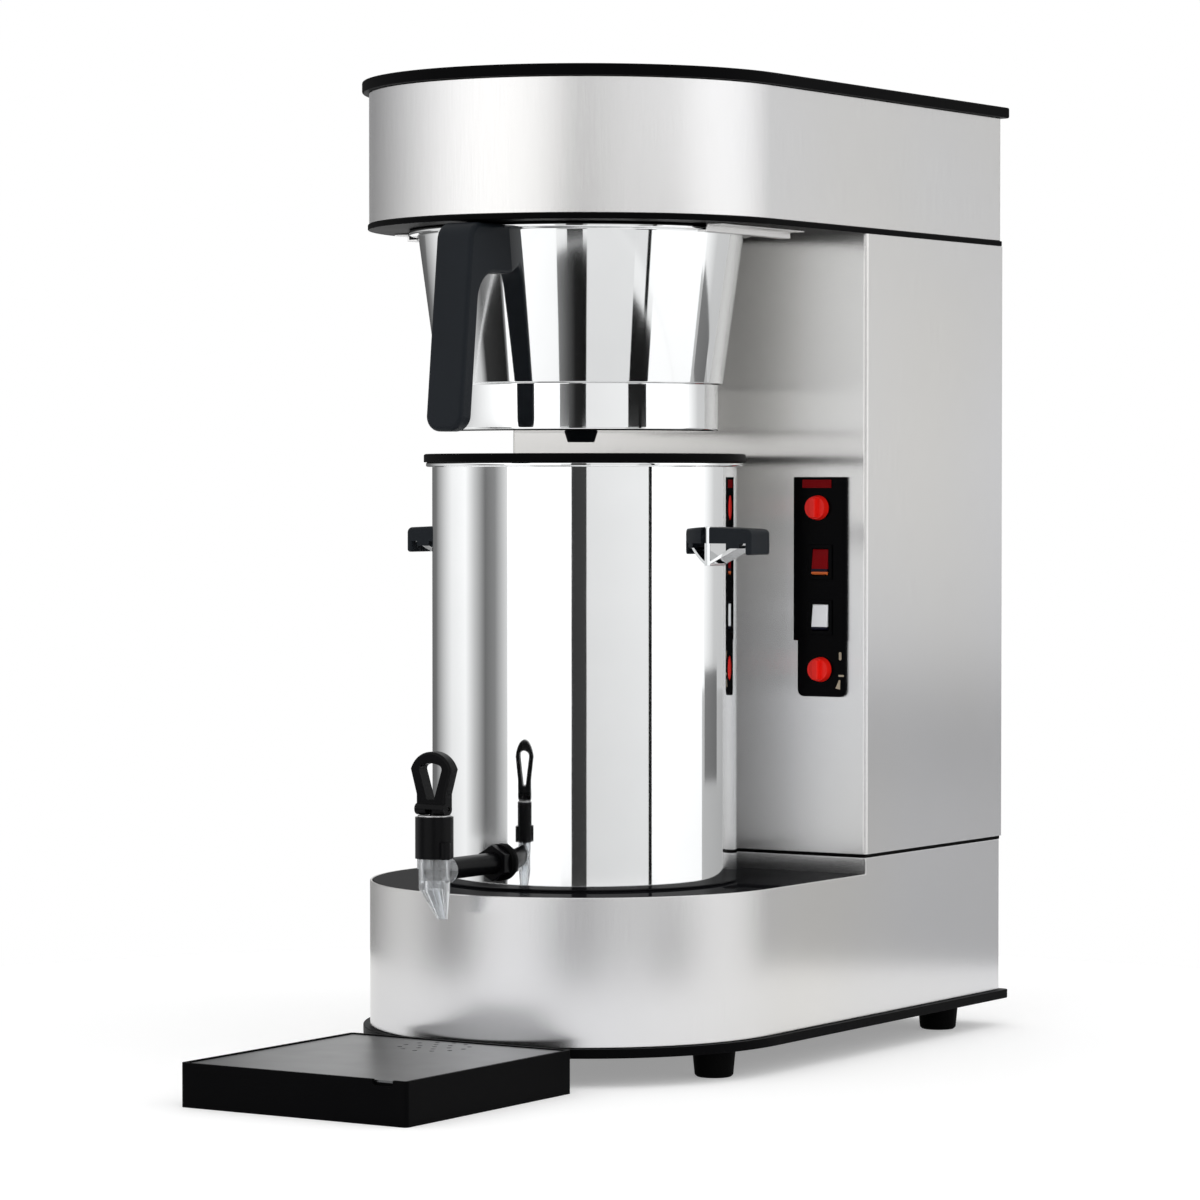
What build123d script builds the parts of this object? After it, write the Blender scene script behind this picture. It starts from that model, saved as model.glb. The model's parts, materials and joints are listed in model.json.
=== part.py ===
"""Coffee urn station: a bulk coffee brewer with a lift-out filter basket and a removable urn.

Millimetres, +Z up, -Y is the front where the tap is, +X is the user's right.
The origin is on the counter, on the vertical axis of the urn, and below the middle of the whole thing.
"""
import os
from math import radians, sqrt, tan

from build123d import *

os.makedirs("parts", exist_ok=True)

# ---------------------------------------------------------------- housing
half_width = 155.0          # half the width of the steel housing, and the radius of its round nose
rear_y = 352.0              # back face of the housing
sheet = 1.5                 # steel sheet of the housing
rear_corner = 5.0           # outside bend radius of the rear corners
column_front_y = 138.5      # front face of the upright column
column_corner = 3.0         # outside bend radius of the column's front corners
fit_gap = 0.3               # gap round a piece that drops into another

foot_height = 20.5
pan_height = 6.5            # black pan under the base
pan_overhang = 5.0
pan_floor = 3.0
pan_ledge = 8.0             # width of the pan's rim inside the base wall
base_wall = 104.0           # height of the base shell at the front
riser_height = 12.0         # step up from the deck to the column's foot
seam_height = 2.5           # black gasket between base and column
seam_recess = 1.0
seam_width = 8.0
column_height = 452.5
plate_height = 4.0          # black plate under the head
plate_overhang = 1.0
head_height = 94.0
lid_height = 8.0
lid_overhang = 5.0
lid_skin = 2.5
lid_rim = 14.0              # solid edge of the top lid
lid_rib_depth = 6.0
lid_rib_width = 2.5
flange_width = 10.0         # turned-in edges of the folded sheets
deck_thickness = 3.0
deck_ledge = 8.0

pan_bottom = foot_height
base_bottom = pan_bottom + pan_height
deck_top = base_bottom + base_wall
base_back_top = deck_top + riser_height
column_bottom = base_back_top + seam_height
column_top = column_bottom + column_height
head_bottom = column_top + plate_height
head_top = head_bottom + head_height
inner_half_width = half_width - sheet
ledge_bottom = deck_top - deck_thickness - sheet

# ---------------------------------------------------------------- feet and screws
foot_inset = 28.0           # from the housing's side to a foot's axis
foot_front_y = -30.0
foot_rear_inset = 50.0      # from the housing's back to a rear foot's axis
foot_top_radius = 15.5
foot_bottom_radius = 13.5
foot_edge = 1.5
foot_recess_radius = 7.0
foot_recess_depth = 11.0
foot_screw_radius = 3.0
foot_screw_gap = 0.1
foot_screw_head_radius = 5.5
foot_screw_head = 3.5
foot_boss_radius = 8.0
foot_boss_height = 14.0

foot_x = half_width - foot_inset
foot_rear_y = rear_y - foot_rear_inset
foot_bore_radius = foot_screw_radius + foot_screw_gap
foot_places = [(x, y) for x in (-foot_x, foot_x) for y in (foot_front_y, foot_rear_y)]

# ---------------------------------------------------------------- back panel
flange_depth_y = 1.5        # the rear flanges lie this far in front of the panel
panel_screw_radius = 1.9
panel_screw_gap = 0.2
panel_screw_head_radius = 4.0
panel_screw_head = 2.2
panel_screw_length = 6.0
panel_screw_inset = 7.0     # from the inside of the column wall to the screw's axis
panel_screw_end_gap = 26.0  # from the column's ends to the outermost screws
panel_screw_count = 4       # up each side
louvre_length = 62.0
louvre_height = 4.0
louvre_pitch = 14.0
louvre_count = 9
louvre_x = 55.0
louvre_drop = 98.0          # from the column's top to the middle of the louvres
service_rise = 44.5         # from the column's foot to the water inlet and the cable gland
gland_inset = 53.5          # from the inside of the housing's side to the gland's axis

panel_hole_radius = panel_screw_radius + panel_screw_gap
panel_screw_pitch = (column_height - 2 * panel_screw_end_gap) / (panel_screw_count - 1)
panel_screw_heights = [column_bottom + panel_screw_end_gap + index * panel_screw_pitch
                       for index in range(panel_screw_count)]
louvre_middle_z = column_top - louvre_drop
service_z = column_bottom + service_rise
gland_x = inner_half_width - gland_inset

# ---------------------------------------------------------------- frame, tank and water path
frame_gap = 15.5            # from the inside of the housing's side to a side frame
frame_sheet = 2.0
frame_front_gap = 31.5      # from the column's front face to the side frames
frame_boss_gap = 4.0        # from the side frames to the rear feet's bosses
frame_flange = 15.0
frame_hole_radius = 38.0
frame_hole_pitch = 120.0
frame_hole_count = 3
shelf_rise = 10.5           # from the column's foot to the tank shelf
shelf_flange = 22.0
shelf_overlap = 4.0         # the shelf runs this far past the tank, front and rear
tank_front_gap = 21.5       # from the column's front face to the tank
tank_rear_gap = 16.0        # from the housing's back to the tank
tank_headroom = 58.0        # from the tank's lid to the column's top
tank_wall = 1.2
tank_lip = 4.0
tank_lid_height = 3.0
outlet_offset = 58.0        # the hot-water outlet stands this far in front of the tank's axis
outlet_boss_radius = 10.0
outlet_boss_height = 8.0
outlet_socket_depth = 6.0
pipe_radius = 6.0
pipe_bore = 4.5
pipe_bend = 22.0
pipe_rise = 38.0            # from the head's floor to the level run of the spray pipe
element_x = -32.0
element_flange_radius = 26.0
element_flange_height = 6.0
element_hole_radius = 22.0
element_tube = 4.0
element_bend = 14.0
element_floor_gap = 55.0    # from the tank's floor to the bend of the element
terminal_radius = 2.5
terminal_height = 12.0
inlet_hex = 34.0            # across the flats of the inlet's outside nut
inlet_hex_height = 3.5
inlet_body_radius = 14.0
inlet_bore_radius = 10.5    # female half-inch pipe thread
inlet_bore_length = 16.0
inlet_body_length = 24.0
valve_size = 34.0
valve_length = 40.0
coil_radius = 14.0
coil_height = 38.0
fill_pipe_length = 16.0     # from the valve to the tank's wall, along the pipe's axis
fill_pipe_radius = 6.0
fill_pipe_bore = 4.5
gland_flange_radius = 11.0
gland_flange_height = 3.5
gland_body_radius = 8.0
gland_bore_radius = 5.0
gland_body_length = 22.0
gland_nut = 22.0
gland_nut_height = 5.0

frame_x = inner_half_width - frame_gap
frame_front_y = column_front_y + frame_front_gap
frame_rear_y = foot_rear_y - foot_boss_radius - frame_boss_gap
frame_hole_middle_z = (column_bottom + column_top) / 2
tank_radius = (rear_y - tank_rear_gap - column_front_y - tank_front_gap) / 2
tank_y = rear_y - tank_rear_gap - tank_radius
shelf_z = column_bottom + shelf_rise
tank_bottom = shelf_z + frame_sheet
tank_top = column_top - tank_headroom
outlet_y = tank_y - outlet_offset
pipe_top_z = head_bottom + pipe_rise
valve_rear_y = rear_y - inlet_body_length
valve_front_y = valve_rear_y - valve_length
fill_pipe_y = valve_front_y + valve_size / 2
tank_wall_x = sqrt(tank_radius ** 2 - (fill_pipe_y - tank_y) ** 2)
inlet_x = -tank_wall_x - fill_pipe_length - valve_size / 2
inlet_hole_radius = inlet_body_radius + fit_gap
gland_hole_radius = gland_body_radius + fit_gap

# ---------------------------------------------------------------- spray head and basket rails
brew_y = -5.0               # axis of the filter basket and the spray head
spray_radius = 40.0
spray_gap = 0.8
spray_lip = 6.0
spray_lip_height = 2.0
spray_recess = 0.5          # the spray face lies this far above the plate's underside
spray_hub_radius = 11.0
spray_hub_height = 9.0
spray_socket_depth = 7.0
spray_hole_radius = 1.4
spray_ring_pitch = 10.5
spray_ring_count = 3
ring_step_count = 6         # every ring of holes has this many more than the ring inside it
service_opening_x = 60.0
service_opening_front_gap = 16.5    # behind the column's front face
service_opening_rear_gap = 17.0     # in front of the housing's back

# ---------------------------------------------------------------- filter basket
basket_wall = 1.0
basket_height = 140.5       # from the flange's underside to the foot
basket_foot_height = 34.5   # from the foot to the step
basket_top_gap = 0.5        # between the flange and the black plate
basket_flange_height = 3.5
basket_flange_round = 1.6
basket_flange_width = 6.5
basket_top_radius = 117.0
basket_taper = 14.4         # from the top's radius to the waist's
basket_foot_inset = 3.2     # from the waist's radius to the foot's
basket_outlet_radius = 9.0
nozzle_radius = 12.0
nozzle_tip_radius = 9.6
nozzle_bore = 4.0
nozzle_drop = 7.5
nozzle_flange_height = 2.0
screen_thickness = 1.2
screen_hole_radius = 2.2
screen_ring_pitch = 14.0
screen_ring_count = 6
slide_clearance = 0.3
rail_web_gap = 2.5          # from the flange's edge to the rail's web
rail_lip_overlap = 4.5      # the flange rests on this much of the rail's lip
rail_flange_width = 13.0
rail_ahead = 35.0           # the rails reach this far in front of the basket's axis
rail_behind = 80.0
grip_stand = 38.0           # from the flange to the front of the basket handle, level with its top
grip_lean = 6.1             # degrees by which the hanging grip leans out
grip_thickness = 14.5
grip_half_width = 15.0
grip_foot_drop = 1.5        # the grip ends this far below the basket's foot
grip_top_gap = 1.5          # below the black plate
grip_block_height = 34.0
grip_outer_round = 13.0
grip_inner_round = 22.0
grip_side_round = 11.0
grip_edge = 3.5

basket_flange_radius = basket_top_radius + basket_flange_width
basket_waist_radius = basket_top_radius - basket_taper
basket_foot_radius = basket_waist_radius - basket_foot_inset
basket_flange_z = column_top - basket_top_gap - basket_flange_height
basket_bottom_z = basket_flange_z - basket_height
basket_step_z = basket_bottom_z + basket_foot_height
rail_web_x = basket_flange_radius + rail_web_gap
rail_lip_x = basket_flange_radius - rail_lip_overlap
rail_flange_x = rail_web_x + rail_flange_width
grip_front_y = brew_y - basket_flange_radius - grip_stand
grip_bottom_z = basket_bottom_z - grip_foot_drop

# ---------------------------------------------------------------- urn
urn_radius = 110.0
urn_wall = 1.0
brew_gap = 16.0             # from the urn's lid to the basket's foot
urn_space = 7.0             # foam between the liner and the shell
liner_floor_gap = 5.0
urn_rim_overhang = 4.5
urn_rim_height = 3.5
urn_rim_round = 1.6
foam_gap = 0.2
urn_lid_overhang = 1.5      # past the rim
urn_lid_height = 6.0
urn_lid_skin = 3.0
urn_lid_edge = 18.0
urn_lid_spigot = 5.5
urn_lid_spigot_wall = 2.5
urn_lid_hole = 16.0
urn_lid_round = 1.5

rim_top = basket_bottom_z - brew_gap - urn_lid_height
urn_top = rim_top - urn_rim_height
urn_height = urn_top - deck_top
liner_radius = urn_radius - urn_wall - urn_space
urn_rim_radius = urn_radius + urn_rim_overhang
urn_lid_radius = urn_rim_radius + urn_lid_overhang

# ---------------------------------------------------------------- urn handles
bracket_width = 22.0
bracket_sheet = 2.0
bracket_drop = 49.0         # from the rim's underside to the middle of the strap inside the grip
bracket_foot_below = 21.0   # the foot on the wall reaches this far below the strap
bracket_foot_above = 7.0
bracket_knee_below = 17.5   # where the slanting brace leaves the wall
brace_height = 2.4          # the slanting brace's thickness, measured upright
strap_end_gap = 1.8         # from the strap's end to the grip's end
grip_length = 36.8          # from the urn's wall to the grip's end
ear_width = 28.0
ear_above = 6.5             # the grip's top lies this far above the strap
ear_slope = 1.5             # fall of the grip's top towards its end
ear_below = 5.0             # the grip's underside lies this far below the strap
ear_hook_drop = 8.0         # the hook hangs this far below the grip's underside
ear_hook_length = 4.8
ear_block_drop = 3.4        # the block above the fingers hangs this far below the underside
ear_block_start = 17.0      # from the urn's wall
ear_block_end = 27.5
ear_wall_gap = 3.0
ear_round = 2.0

bracket_bar_z = urn_top - bracket_drop
grip_reach = urn_radius + grip_length
bracket_reach = grip_reach - strap_end_gap
bracket_foot_low = bracket_bar_z - bracket_foot_below
bracket_foot_high = bracket_bar_z + bracket_foot_above
bracket_knee_z = bracket_bar_z - bracket_knee_below
ear_top = bracket_bar_z + ear_above
ear_underside = bracket_bar_z - ear_below
ear_hook_z = ear_underside - ear_hook_drop
ear_hook_x = grip_reach - ear_hook_length
ear_block_z = ear_underside - ear_block_drop

# ---------------------------------------------------------------- tap
tap_stand = 36.5            # the tap stands this far in front of the housing's nose
shank_radius = 7.5
shank_bore = 4.5
shank_proud = 2.0           # past the inner nut
shank_end_gap = 9.5         # from the shank's end to the tap's axis
shank_fit = 0.2
tap_nut_flats = 22.0
tap_nut_height = 7.0
flat_down = 30.0            # degrees that turn a nut's flat to the bottom
seal_radius = 13.0
seal_thickness = 4.0
seal_floor_gap = 0.5        # from the liner's floor to the inner seal
valve_bore = 8.4
barrel_wall = 2.4
shoulder_step = 0.95        # the body's shoulder stands this far out of its barrel
shoulder_rise = 1.3         # from the shank's axis to the shoulder
body_rise = 8.5             # from the shank's axis to the body's top
spout_start_drop = 12.5     # from the shank's axis to the top of the spout
spout_drop = 33.9           # from the shank's axis to the spout's tip
spout_lean = 9.7            # the tip lies this far behind the tap's axis
spout_tip_radius = 3.6
spout_wall = 1.4
tap_boss_wall = 1.7
tap_boss_drop = 0.7         # the boss is centred a little below the shank
tap_boss_length = 15.5
neck_wall = 1.6
neck_height = 9.0
neck_fit = 0.1
seat_drop = 6.5             # from the shank's axis to the valve seat
seat_bore = 5.0
bonnet_wall = 3.1
bonnet_height = 28.6
bonnet_headspace = 0.5      # between the neck's top and the shoulder inside the bonnet
chamber_step = 0.6          # the bonnet's chamber is this much wider than the valve's bore
bonnet_cap = 3.6
wing_reach = 17.3
wing_thickness = 7.0
wing_height = 11.5
wing_round = 2.3
wing_turn = -25.0           # the wings are turned this far about the tap's axis
ring_inset = 1.7            # the ring's edge lies this far inside the bonnet's
ring_height = 1.2
stem_radius = 3.0
stem_fit = 0.1
stem_collar_radius = 7.0
stem_collar_rise = 4.0      # from the body's top to the stem's collar
stem_collar_height = 2.0
cup_gap = 0.8               # between the seat cup and the bore
cup_height = 7.5
cup_taper = 3.0
stem_in_cup = 4.0
stem_head = 2.2             # above the lever pin's axis
spring_wire = 0.6
spring_radius = 5.2
spring_turns = 5
pin_height = 4.2            # lever pin above the ring
pin_radius = 1.5
pin_fit = 0.05
pin_inset = 1.5             # the pin's ends lie this far inside the lever's sides
cam_offset = 3.0            # the lever's round foot is centred this far in front of the pin
cam_gap = 0.2
lever_rise = 39.4           # from the pin to the lever's crown
lever_top_half = 16.9
lever_neck_half = 12.0
lever_neck_rise = 10.0
lever_thickness = 10.0
lever_crown = 12.0          # how far the loop's shoulders lie below its crown
lever_crown_round = 3.0
lever_slot_gap = 0.25
lever_slot_reach = 11.0
lever_slot_room = 1.4       # the slot's round top clears the stem's radius by this much
lever_edge = 1.6
loop_top_rise = 29.0        # from the pin to the shoulders of the loop's hole
loop_top_half = 10.0
loop_crown = 2.6
loop_bottom_rise = 6.5
loop_bottom_half = 3.0

tap_y = -half_width - tap_stand
liner_floor = deck_top + liner_floor_gap
liner_inner = liner_radius - urn_wall
shank_z = liner_floor + urn_wall + seal_floor_gap + seal_radius
shank_inner_y = -liner_inner + seal_thickness + tap_nut_height + shank_proud
shank_outer_y = tap_y + shank_end_gap
wall_hole_radius = shank_radius + shank_fit
tap_barrel_radius = valve_bore + barrel_wall
tap_body_radius = tap_barrel_radius + shoulder_step
tap_shoulder_z = shank_z + shoulder_rise
tap_body_top = shank_z + body_rise
spout_start_z = shank_z - spout_start_drop
spout_tip_z = shank_z - spout_drop
spout_tip_y = tap_y + spout_lean
tap_boss_radius = shank_radius + tap_boss_wall
tap_boss_y = tap_y + tap_boss_length
neck_radius = valve_bore + neck_wall
seat_z = shank_z - seat_drop
bonnet_bore = neck_radius + neck_fit
bonnet_radius = bonnet_bore + bonnet_wall
bonnet_socket = neck_height + bonnet_headspace
bonnet_chamber = valve_bore + chamber_step
ring_radius = bonnet_radius - ring_inset
stem_hole = stem_radius + stem_fit
stem_collar_z = tap_body_top + stem_collar_rise
cup_radius = valve_bore - cup_gap
cup_tip_radius = cup_radius - cup_taper
bonnet_top = tap_body_top + bonnet_height
ring_top = bonnet_top + ring_height
pin_z = ring_top + pin_height
pin_half_length = lever_neck_half - pin_inset
lever_top = pin_z + lever_rise
lever_neck_z = pin_z + lever_neck_rise
lever_slot_round = stem_radius + lever_slot_room
loop_top_z = pin_z + loop_top_rise
loop_bottom_z = pin_z + loop_bottom_rise

# ---------------------------------------------------------------- drip tray
tray_half_width = 92.0
tray_depth = 196.7
tray_gap = 0.3              # between the tray's rear and the nose of the base pan
tray_height = 30.0
tray_wall = 2.5
tray_floor = 2.5
tray_ledge = 4.0
tray_corner = 3.0
tray_plate_thickness = 1.5
tray_plate_sink = 0.8
tray_plate_gap = 0.6
notch_inset = 19.0          # from the tray's right side to the middle of the finger notch
notch_width = 16.0
notch_depth = 4.0
drain_hole_radius = 1.8
drain_ring_pitch = 12.0
drain_ring_count = 2

tray_rear_y = -half_width - pan_overhang - tray_gap
tray_front_y = tray_rear_y - tray_depth
notch_x = tray_half_width - notch_inset

# ---------------------------------------------------------------- control panel
panel_inset = 15.5          # from the housing's right side to the panel
panel_width = 44.3
panel_low_inset_left = 3.5  # the lower part of the panel is narrower by this much on the left
panel_low_inset_right = 0.5
panel_rise = 114.5          # from the column's foot to the panel
panel_low_height = 41.0
panel_high_height = 120.0
panel_thickness = 2.5
panel_round = 5.0
window_inset_left = 6.0     # the hole in the column's sheet, inside the panel's outline
window_inset_right = 2.5
window_inset_low = 4.0
window_inset_high = 5.0
lens_inset_left = 8.0
lens_inset_top = 2.0
lens_width = 24.0
lens_height = 6.0
lens_thickness = 1.2
timer_inset = 23.6          # from the panel's right edge
timer_drop = 22.5           # from the panel's top
thermostat_rise = 20.0      # from the panel's bottom
knob_radius = 9.2
knob_height = 5.0
knob_taper = 11.0           # degrees by which the knob's skirt leans in
knob_grip_height = 4.5
knob_grip_half = 2.4
knob_gap = 0.4
knob_edge = 0.8
knob_shaft_radius = 3.0
knob_shaft_fit = 0.05
knob_shaft_depth = 15.5     # behind the column's front face
unit_half_width = 14.0
unit_half_height = 15.0
unit_depth = 26.0
switch_inset = 21.2         # from the panel's right edge
power_rise = 57.7           # from the panel's step
warmer_rise = 17.2
rocker_width = 13.0
rocker_length = 19.0
rocker_depth = 3.0          # the rocker's pivot behind its face
rocker_tilt = 8.0
rocker_gap = 0.25
rocker_proud = 0.8
rocker_back_depth = 7.5     # behind the column's front face
bezel_lip = 2.0
bezel_lip_height = 1.2
bezel_wall = 1.0
bezel_depth = 14.0
bezel_gap = 0.1

panel_right = half_width - panel_inset
panel_left = panel_right - panel_width
panel_low_left = panel_left + panel_low_inset_left
panel_low_right = panel_right - panel_low_inset_right
panel_bottom = column_bottom + panel_rise
panel_step_z = panel_bottom + panel_low_height
panel_top = panel_step_z + panel_high_height
window_left = panel_left + window_inset_left
window_right = panel_right - window_inset_right
window_low = panel_bottom + window_inset_low
window_high = panel_top - window_inset_high
lens_left = panel_left + lens_inset_left
lens_right = lens_left + lens_width
lens_high = panel_top - lens_inset_top
lens_low = lens_high - lens_height
timer_x = panel_right - timer_inset
timer_z = panel_top - timer_drop
switch_x = panel_right - switch_inset
thermostat_x = switch_x
thermostat_z = panel_bottom + thermostat_rise
power_z = panel_step_z + power_rise
warmer_z = panel_step_z + warmer_rise
knob_face_radius = knob_radius - knob_height * tan(radians(knob_taper))
knob_shaft_end = column_front_y + knob_shaft_depth
rocker_back_y = column_front_y + rocker_back_depth


# ---------------------------------------------------------------- helpers
def at_z(height):
    """A level plane; its sketch is drawn in X and Y."""
    return Plane.XY.offset(height)


def at_y(depth):
    """An upright plane facing the front; its sketch is drawn in X and Z, and extrudes towards -Y."""
    return Plane.XZ.offset(-depth)


def at_x(side):
    """An upright plane facing the right; its sketch is drawn in Y and Z, and extrudes towards +X."""
    return Plane.YZ.offset(side)


def upright(x, y):
    """The vertical axis through a point of the plan."""
    return Axis((x, y, 0), (0, 0, 1))


def d_plan(grow, rear):
    """The housing's outline: a half-round nose, straight sides and a flat rear with bent corners."""
    reach = half_width + grow
    with BuildSketch() as plan:
        with BuildLine():
            CenterArc((0, 0), reach, 0, -180)
            Polyline((-reach, 0), (-reach, rear), (reach, rear), (reach, 0))
        make_face()
        fillet(plan.vertices().group_by(Axis.Y)[-1], rear_corner)
    return plan.sketch


def block(left, right, low, high):
    """A rectangle given by its two edges each way."""
    with BuildSketch() as shape:
        with Locations(((left + right) / 2, (low + high) / 2)):
            Rectangle(right - left, high - low)
    return shape.sketch


def hole_rings(x, y, radius, pitch, rings):
    """A round hole with rings of holes about it."""
    with BuildSketch() as holes:
        with Locations((x, y)):
            Circle(radius)
            for ring in range(1, rings + 1):
                with PolarLocations(ring * pitch, ring * ring_step_count):
                    Circle(radius)
    return holes.sketch


# ================================================================ base
pan_rear = rear_y + pan_overhang
with BuildPart() as base_pan:
    with BuildSketch(at_z(pan_bottom)):
        add(d_plan(pan_overhang, pan_rear))
    extrude(amount=pan_height)
    with BuildSketch(at_z(pan_bottom + pan_floor)):
        add(d_plan(-pan_ledge, rear_y - pan_ledge))
    extrude(amount=pan_height, mode=Mode.SUBTRACT)
    with BuildSketch(at_z(pan_bottom)):
        with Locations(*foot_places):
            Circle(foot_boss_radius)
    extrude(amount=foot_boss_height)
    with BuildSketch(at_z(pan_bottom)):
        with Locations(*foot_places):
            Circle(foot_bore_radius)
    extrude(amount=foot_boss_height, mode=Mode.SUBTRACT)
base_pan.part.label = "base_pan"
export_step(base_pan.part, "parts/base_pan.step")

with BuildPart() as rubber_feet:
    with Locations(*foot_places):
        Cone(foot_bottom_radius, foot_top_radius, foot_height,
             align=(Align.CENTER, Align.CENTER, Align.MIN))
    chamfer(rubber_feet.edges().group_by(Axis.Z)[0], foot_edge)
    with BuildSketch(at_z(0)):
        with Locations(*foot_places):
            Circle(foot_recess_radius)
    extrude(amount=foot_recess_depth, mode=Mode.SUBTRACT)
    with BuildSketch(at_z(0)):
        with Locations(*foot_places):
            Circle(foot_bore_radius)
    extrude(amount=foot_height, mode=Mode.SUBTRACT)
rubber_feet.part.label = "rubber_feet"
export_step(rubber_feet.part, "parts/rubber_feet.step")

with BuildPart() as foot_screws:
    with BuildSketch(at_z(foot_recess_depth - foot_screw_head)):
        with Locations(*foot_places):
            Circle(foot_screw_head_radius)
    extrude(amount=foot_screw_head)
    with BuildSketch(at_z(foot_recess_depth)):
        with Locations(*foot_places):
            Circle(foot_screw_radius)
    extrude(amount=foot_height + foot_boss_height - foot_recess_depth)
foot_screws.part.label = "foot_screws"
export_step(foot_screws.part, "parts/foot_screws.step")

with BuildPart() as base_shell:
    with BuildSketch(at_z(base_bottom)):
        add(d_plan(0, rear_y))
        add(d_plan(-sheet, rear_y - sheet), mode=Mode.SUBTRACT)
    extrude(amount=base_wall)
    with BuildSketch(at_z(ledge_bottom)):
        add(d_plan(-sheet, column_front_y))
        add(d_plan(-sheet - deck_ledge, column_front_y - deck_ledge), mode=Mode.SUBTRACT)
        add(block(-inner_half_width, inner_half_width, column_front_y - rear_corner, column_front_y))
    extrude(amount=sheet)
base_shell.part.label = "base_shell"
export_step(base_shell.part, "parts/base_shell.step")

# The riser stands on the base shell's edge and carries the column.
with BuildPart() as column_riser:
    with BuildSketch(at_z(deck_top)):
        add(d_plan(0, rear_y))
        add(d_plan(-sheet, rear_y - sheet), mode=Mode.SUBTRACT)
        add(block(-half_width, half_width, -half_width, column_front_y), mode=Mode.SUBTRACT)
    extrude(amount=riser_height)
    with BuildSketch(at_z(ledge_bottom)):
        add(block(-inner_half_width, inner_half_width, column_front_y, column_front_y + sheet))
    extrude(amount=base_back_top - ledge_bottom)
    with BuildSketch(at_z(base_back_top - sheet)):
        add(block(-inner_half_width, inner_half_width, column_front_y, rear_y - sheet - rear_corner))
        add(block(-inner_half_width + rear_corner, inner_half_width - rear_corner,
                  column_front_y, rear_y - sheet))
        add(block(-inner_half_width + flange_width, inner_half_width - flange_width,
                  column_front_y + flange_width, rear_y - sheet - flange_width), mode=Mode.SUBTRACT)
    extrude(amount=sheet)
column_riser.part.label = "column_riser"
export_step(column_riser.part, "parts/column_riser.step")

with BuildPart() as deck_plate:
    with BuildSketch(at_z(deck_top - deck_thickness)):
        add(d_plan(-sheet - fit_gap, column_front_y - fit_gap))
    extrude(amount=deck_thickness)
deck_plate.part.label = "deck_plate"
export_step(deck_plate.part, "parts/deck_plate.step")

# ================================================================ column
with BuildPart() as seam_gasket:
    with BuildSketch(at_z(base_back_top)):
        add(block(-half_width + seam_recess, half_width - seam_recess,
                  column_front_y + seam_recess, rear_y - seam_recess))
        add(block(-half_width + seam_recess + seam_width, half_width - seam_recess - seam_width,
                  column_front_y + seam_recess + seam_width, rear_y - seam_recess - seam_width),
            mode=Mode.SUBTRACT)
    extrude(amount=seam_height)
seam_gasket.part.label = "seam_gasket"
export_step(seam_gasket.part, "parts/seam_gasket.step")

back_panel_front = rear_y - sheet
flange_front = back_panel_front - flange_depth_y
panel_screw_x = inner_half_width - panel_screw_inset
panel_screw_places = [(x, z) for x in (-panel_screw_x, panel_screw_x) for z in panel_screw_heights]

with BuildPart() as column_shell:
    with BuildSketch(at_z(column_bottom)) as column_plan:
        add(block(-half_width, half_width, column_front_y, rear_y))
        fillet(column_plan.vertices().group_by(Axis.Y)[0], column_corner)
        add(block(-inner_half_width, inner_half_width, column_front_y + sheet, rear_y),
            mode=Mode.SUBTRACT)
    extrude(amount=column_height)
    with BuildSketch(at_z(column_bottom)):
        for side in (-1, 1):
            edge = side * inner_half_width
            inner = side * (inner_half_width - flange_width - sheet)
            add(block(min(edge, inner), max(edge, inner), flange_front, back_panel_front))
    extrude(amount=column_height)
    for level in (column_bottom, column_top - sheet):
        with BuildSketch(at_z(level)):
            add(block(-inner_half_width, inner_half_width, column_front_y + sheet, back_panel_front))
            add(block(-inner_half_width + flange_width, inner_half_width - flange_width,
                      column_front_y + flange_width, back_panel_front - flange_width),
                mode=Mode.SUBTRACT)
        extrude(amount=sheet)
    with BuildSketch(at_y(column_front_y + sheet)):
        add(block(window_left, window_right, window_low, window_high))
    extrude(amount=sheet, mode=Mode.SUBTRACT)
    with BuildSketch(at_y(back_panel_front)):
        with Locations(*panel_screw_places):
            Circle(panel_hole_radius)
    extrude(amount=flange_depth_y, mode=Mode.SUBTRACT)
column_shell.part.label = "column_shell"
export_step(column_shell.part, "parts/column_shell.step")

with BuildPart() as back_panel:
    with BuildSketch(at_y(rear_y)):
        add(block(-inner_half_width + fit_gap, inner_half_width - fit_gap,
                  column_bottom + sheet, column_top - sheet))
        with Locations(*panel_screw_places):
            Circle(panel_hole_radius, mode=Mode.SUBTRACT)
        with Locations((inlet_x, service_z)):
            Circle(inlet_hole_radius, mode=Mode.SUBTRACT)
        with Locations((gland_x, service_z)):
            Circle(gland_hole_radius, mode=Mode.SUBTRACT)
        for side in (-1, 1):
            with Locations((side * louvre_x, louvre_middle_z)):
                with GridLocations(0, louvre_pitch, 1, louvre_count):
                    SlotOverall(louvre_length, louvre_height, mode=Mode.SUBTRACT)
    extrude(amount=sheet)
back_panel.part.label = "back_panel"
export_step(back_panel.part, "parts/back_panel.step")

with BuildPart() as back_panel_screws:
    with BuildSketch(at_y(rear_y + panel_screw_head)):
        with Locations(*panel_screw_places):
            Circle(panel_screw_head_radius)
    extrude(amount=panel_screw_head)
    with BuildSketch(at_y(rear_y)):
        with Locations(*panel_screw_places):
            Circle(panel_screw_radius)
    extrude(amount=panel_screw_length)
back_panel_screws.part.label = "back_panel_screws"
export_step(back_panel_screws.part, "parts/back_panel_screws.step")

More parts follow.
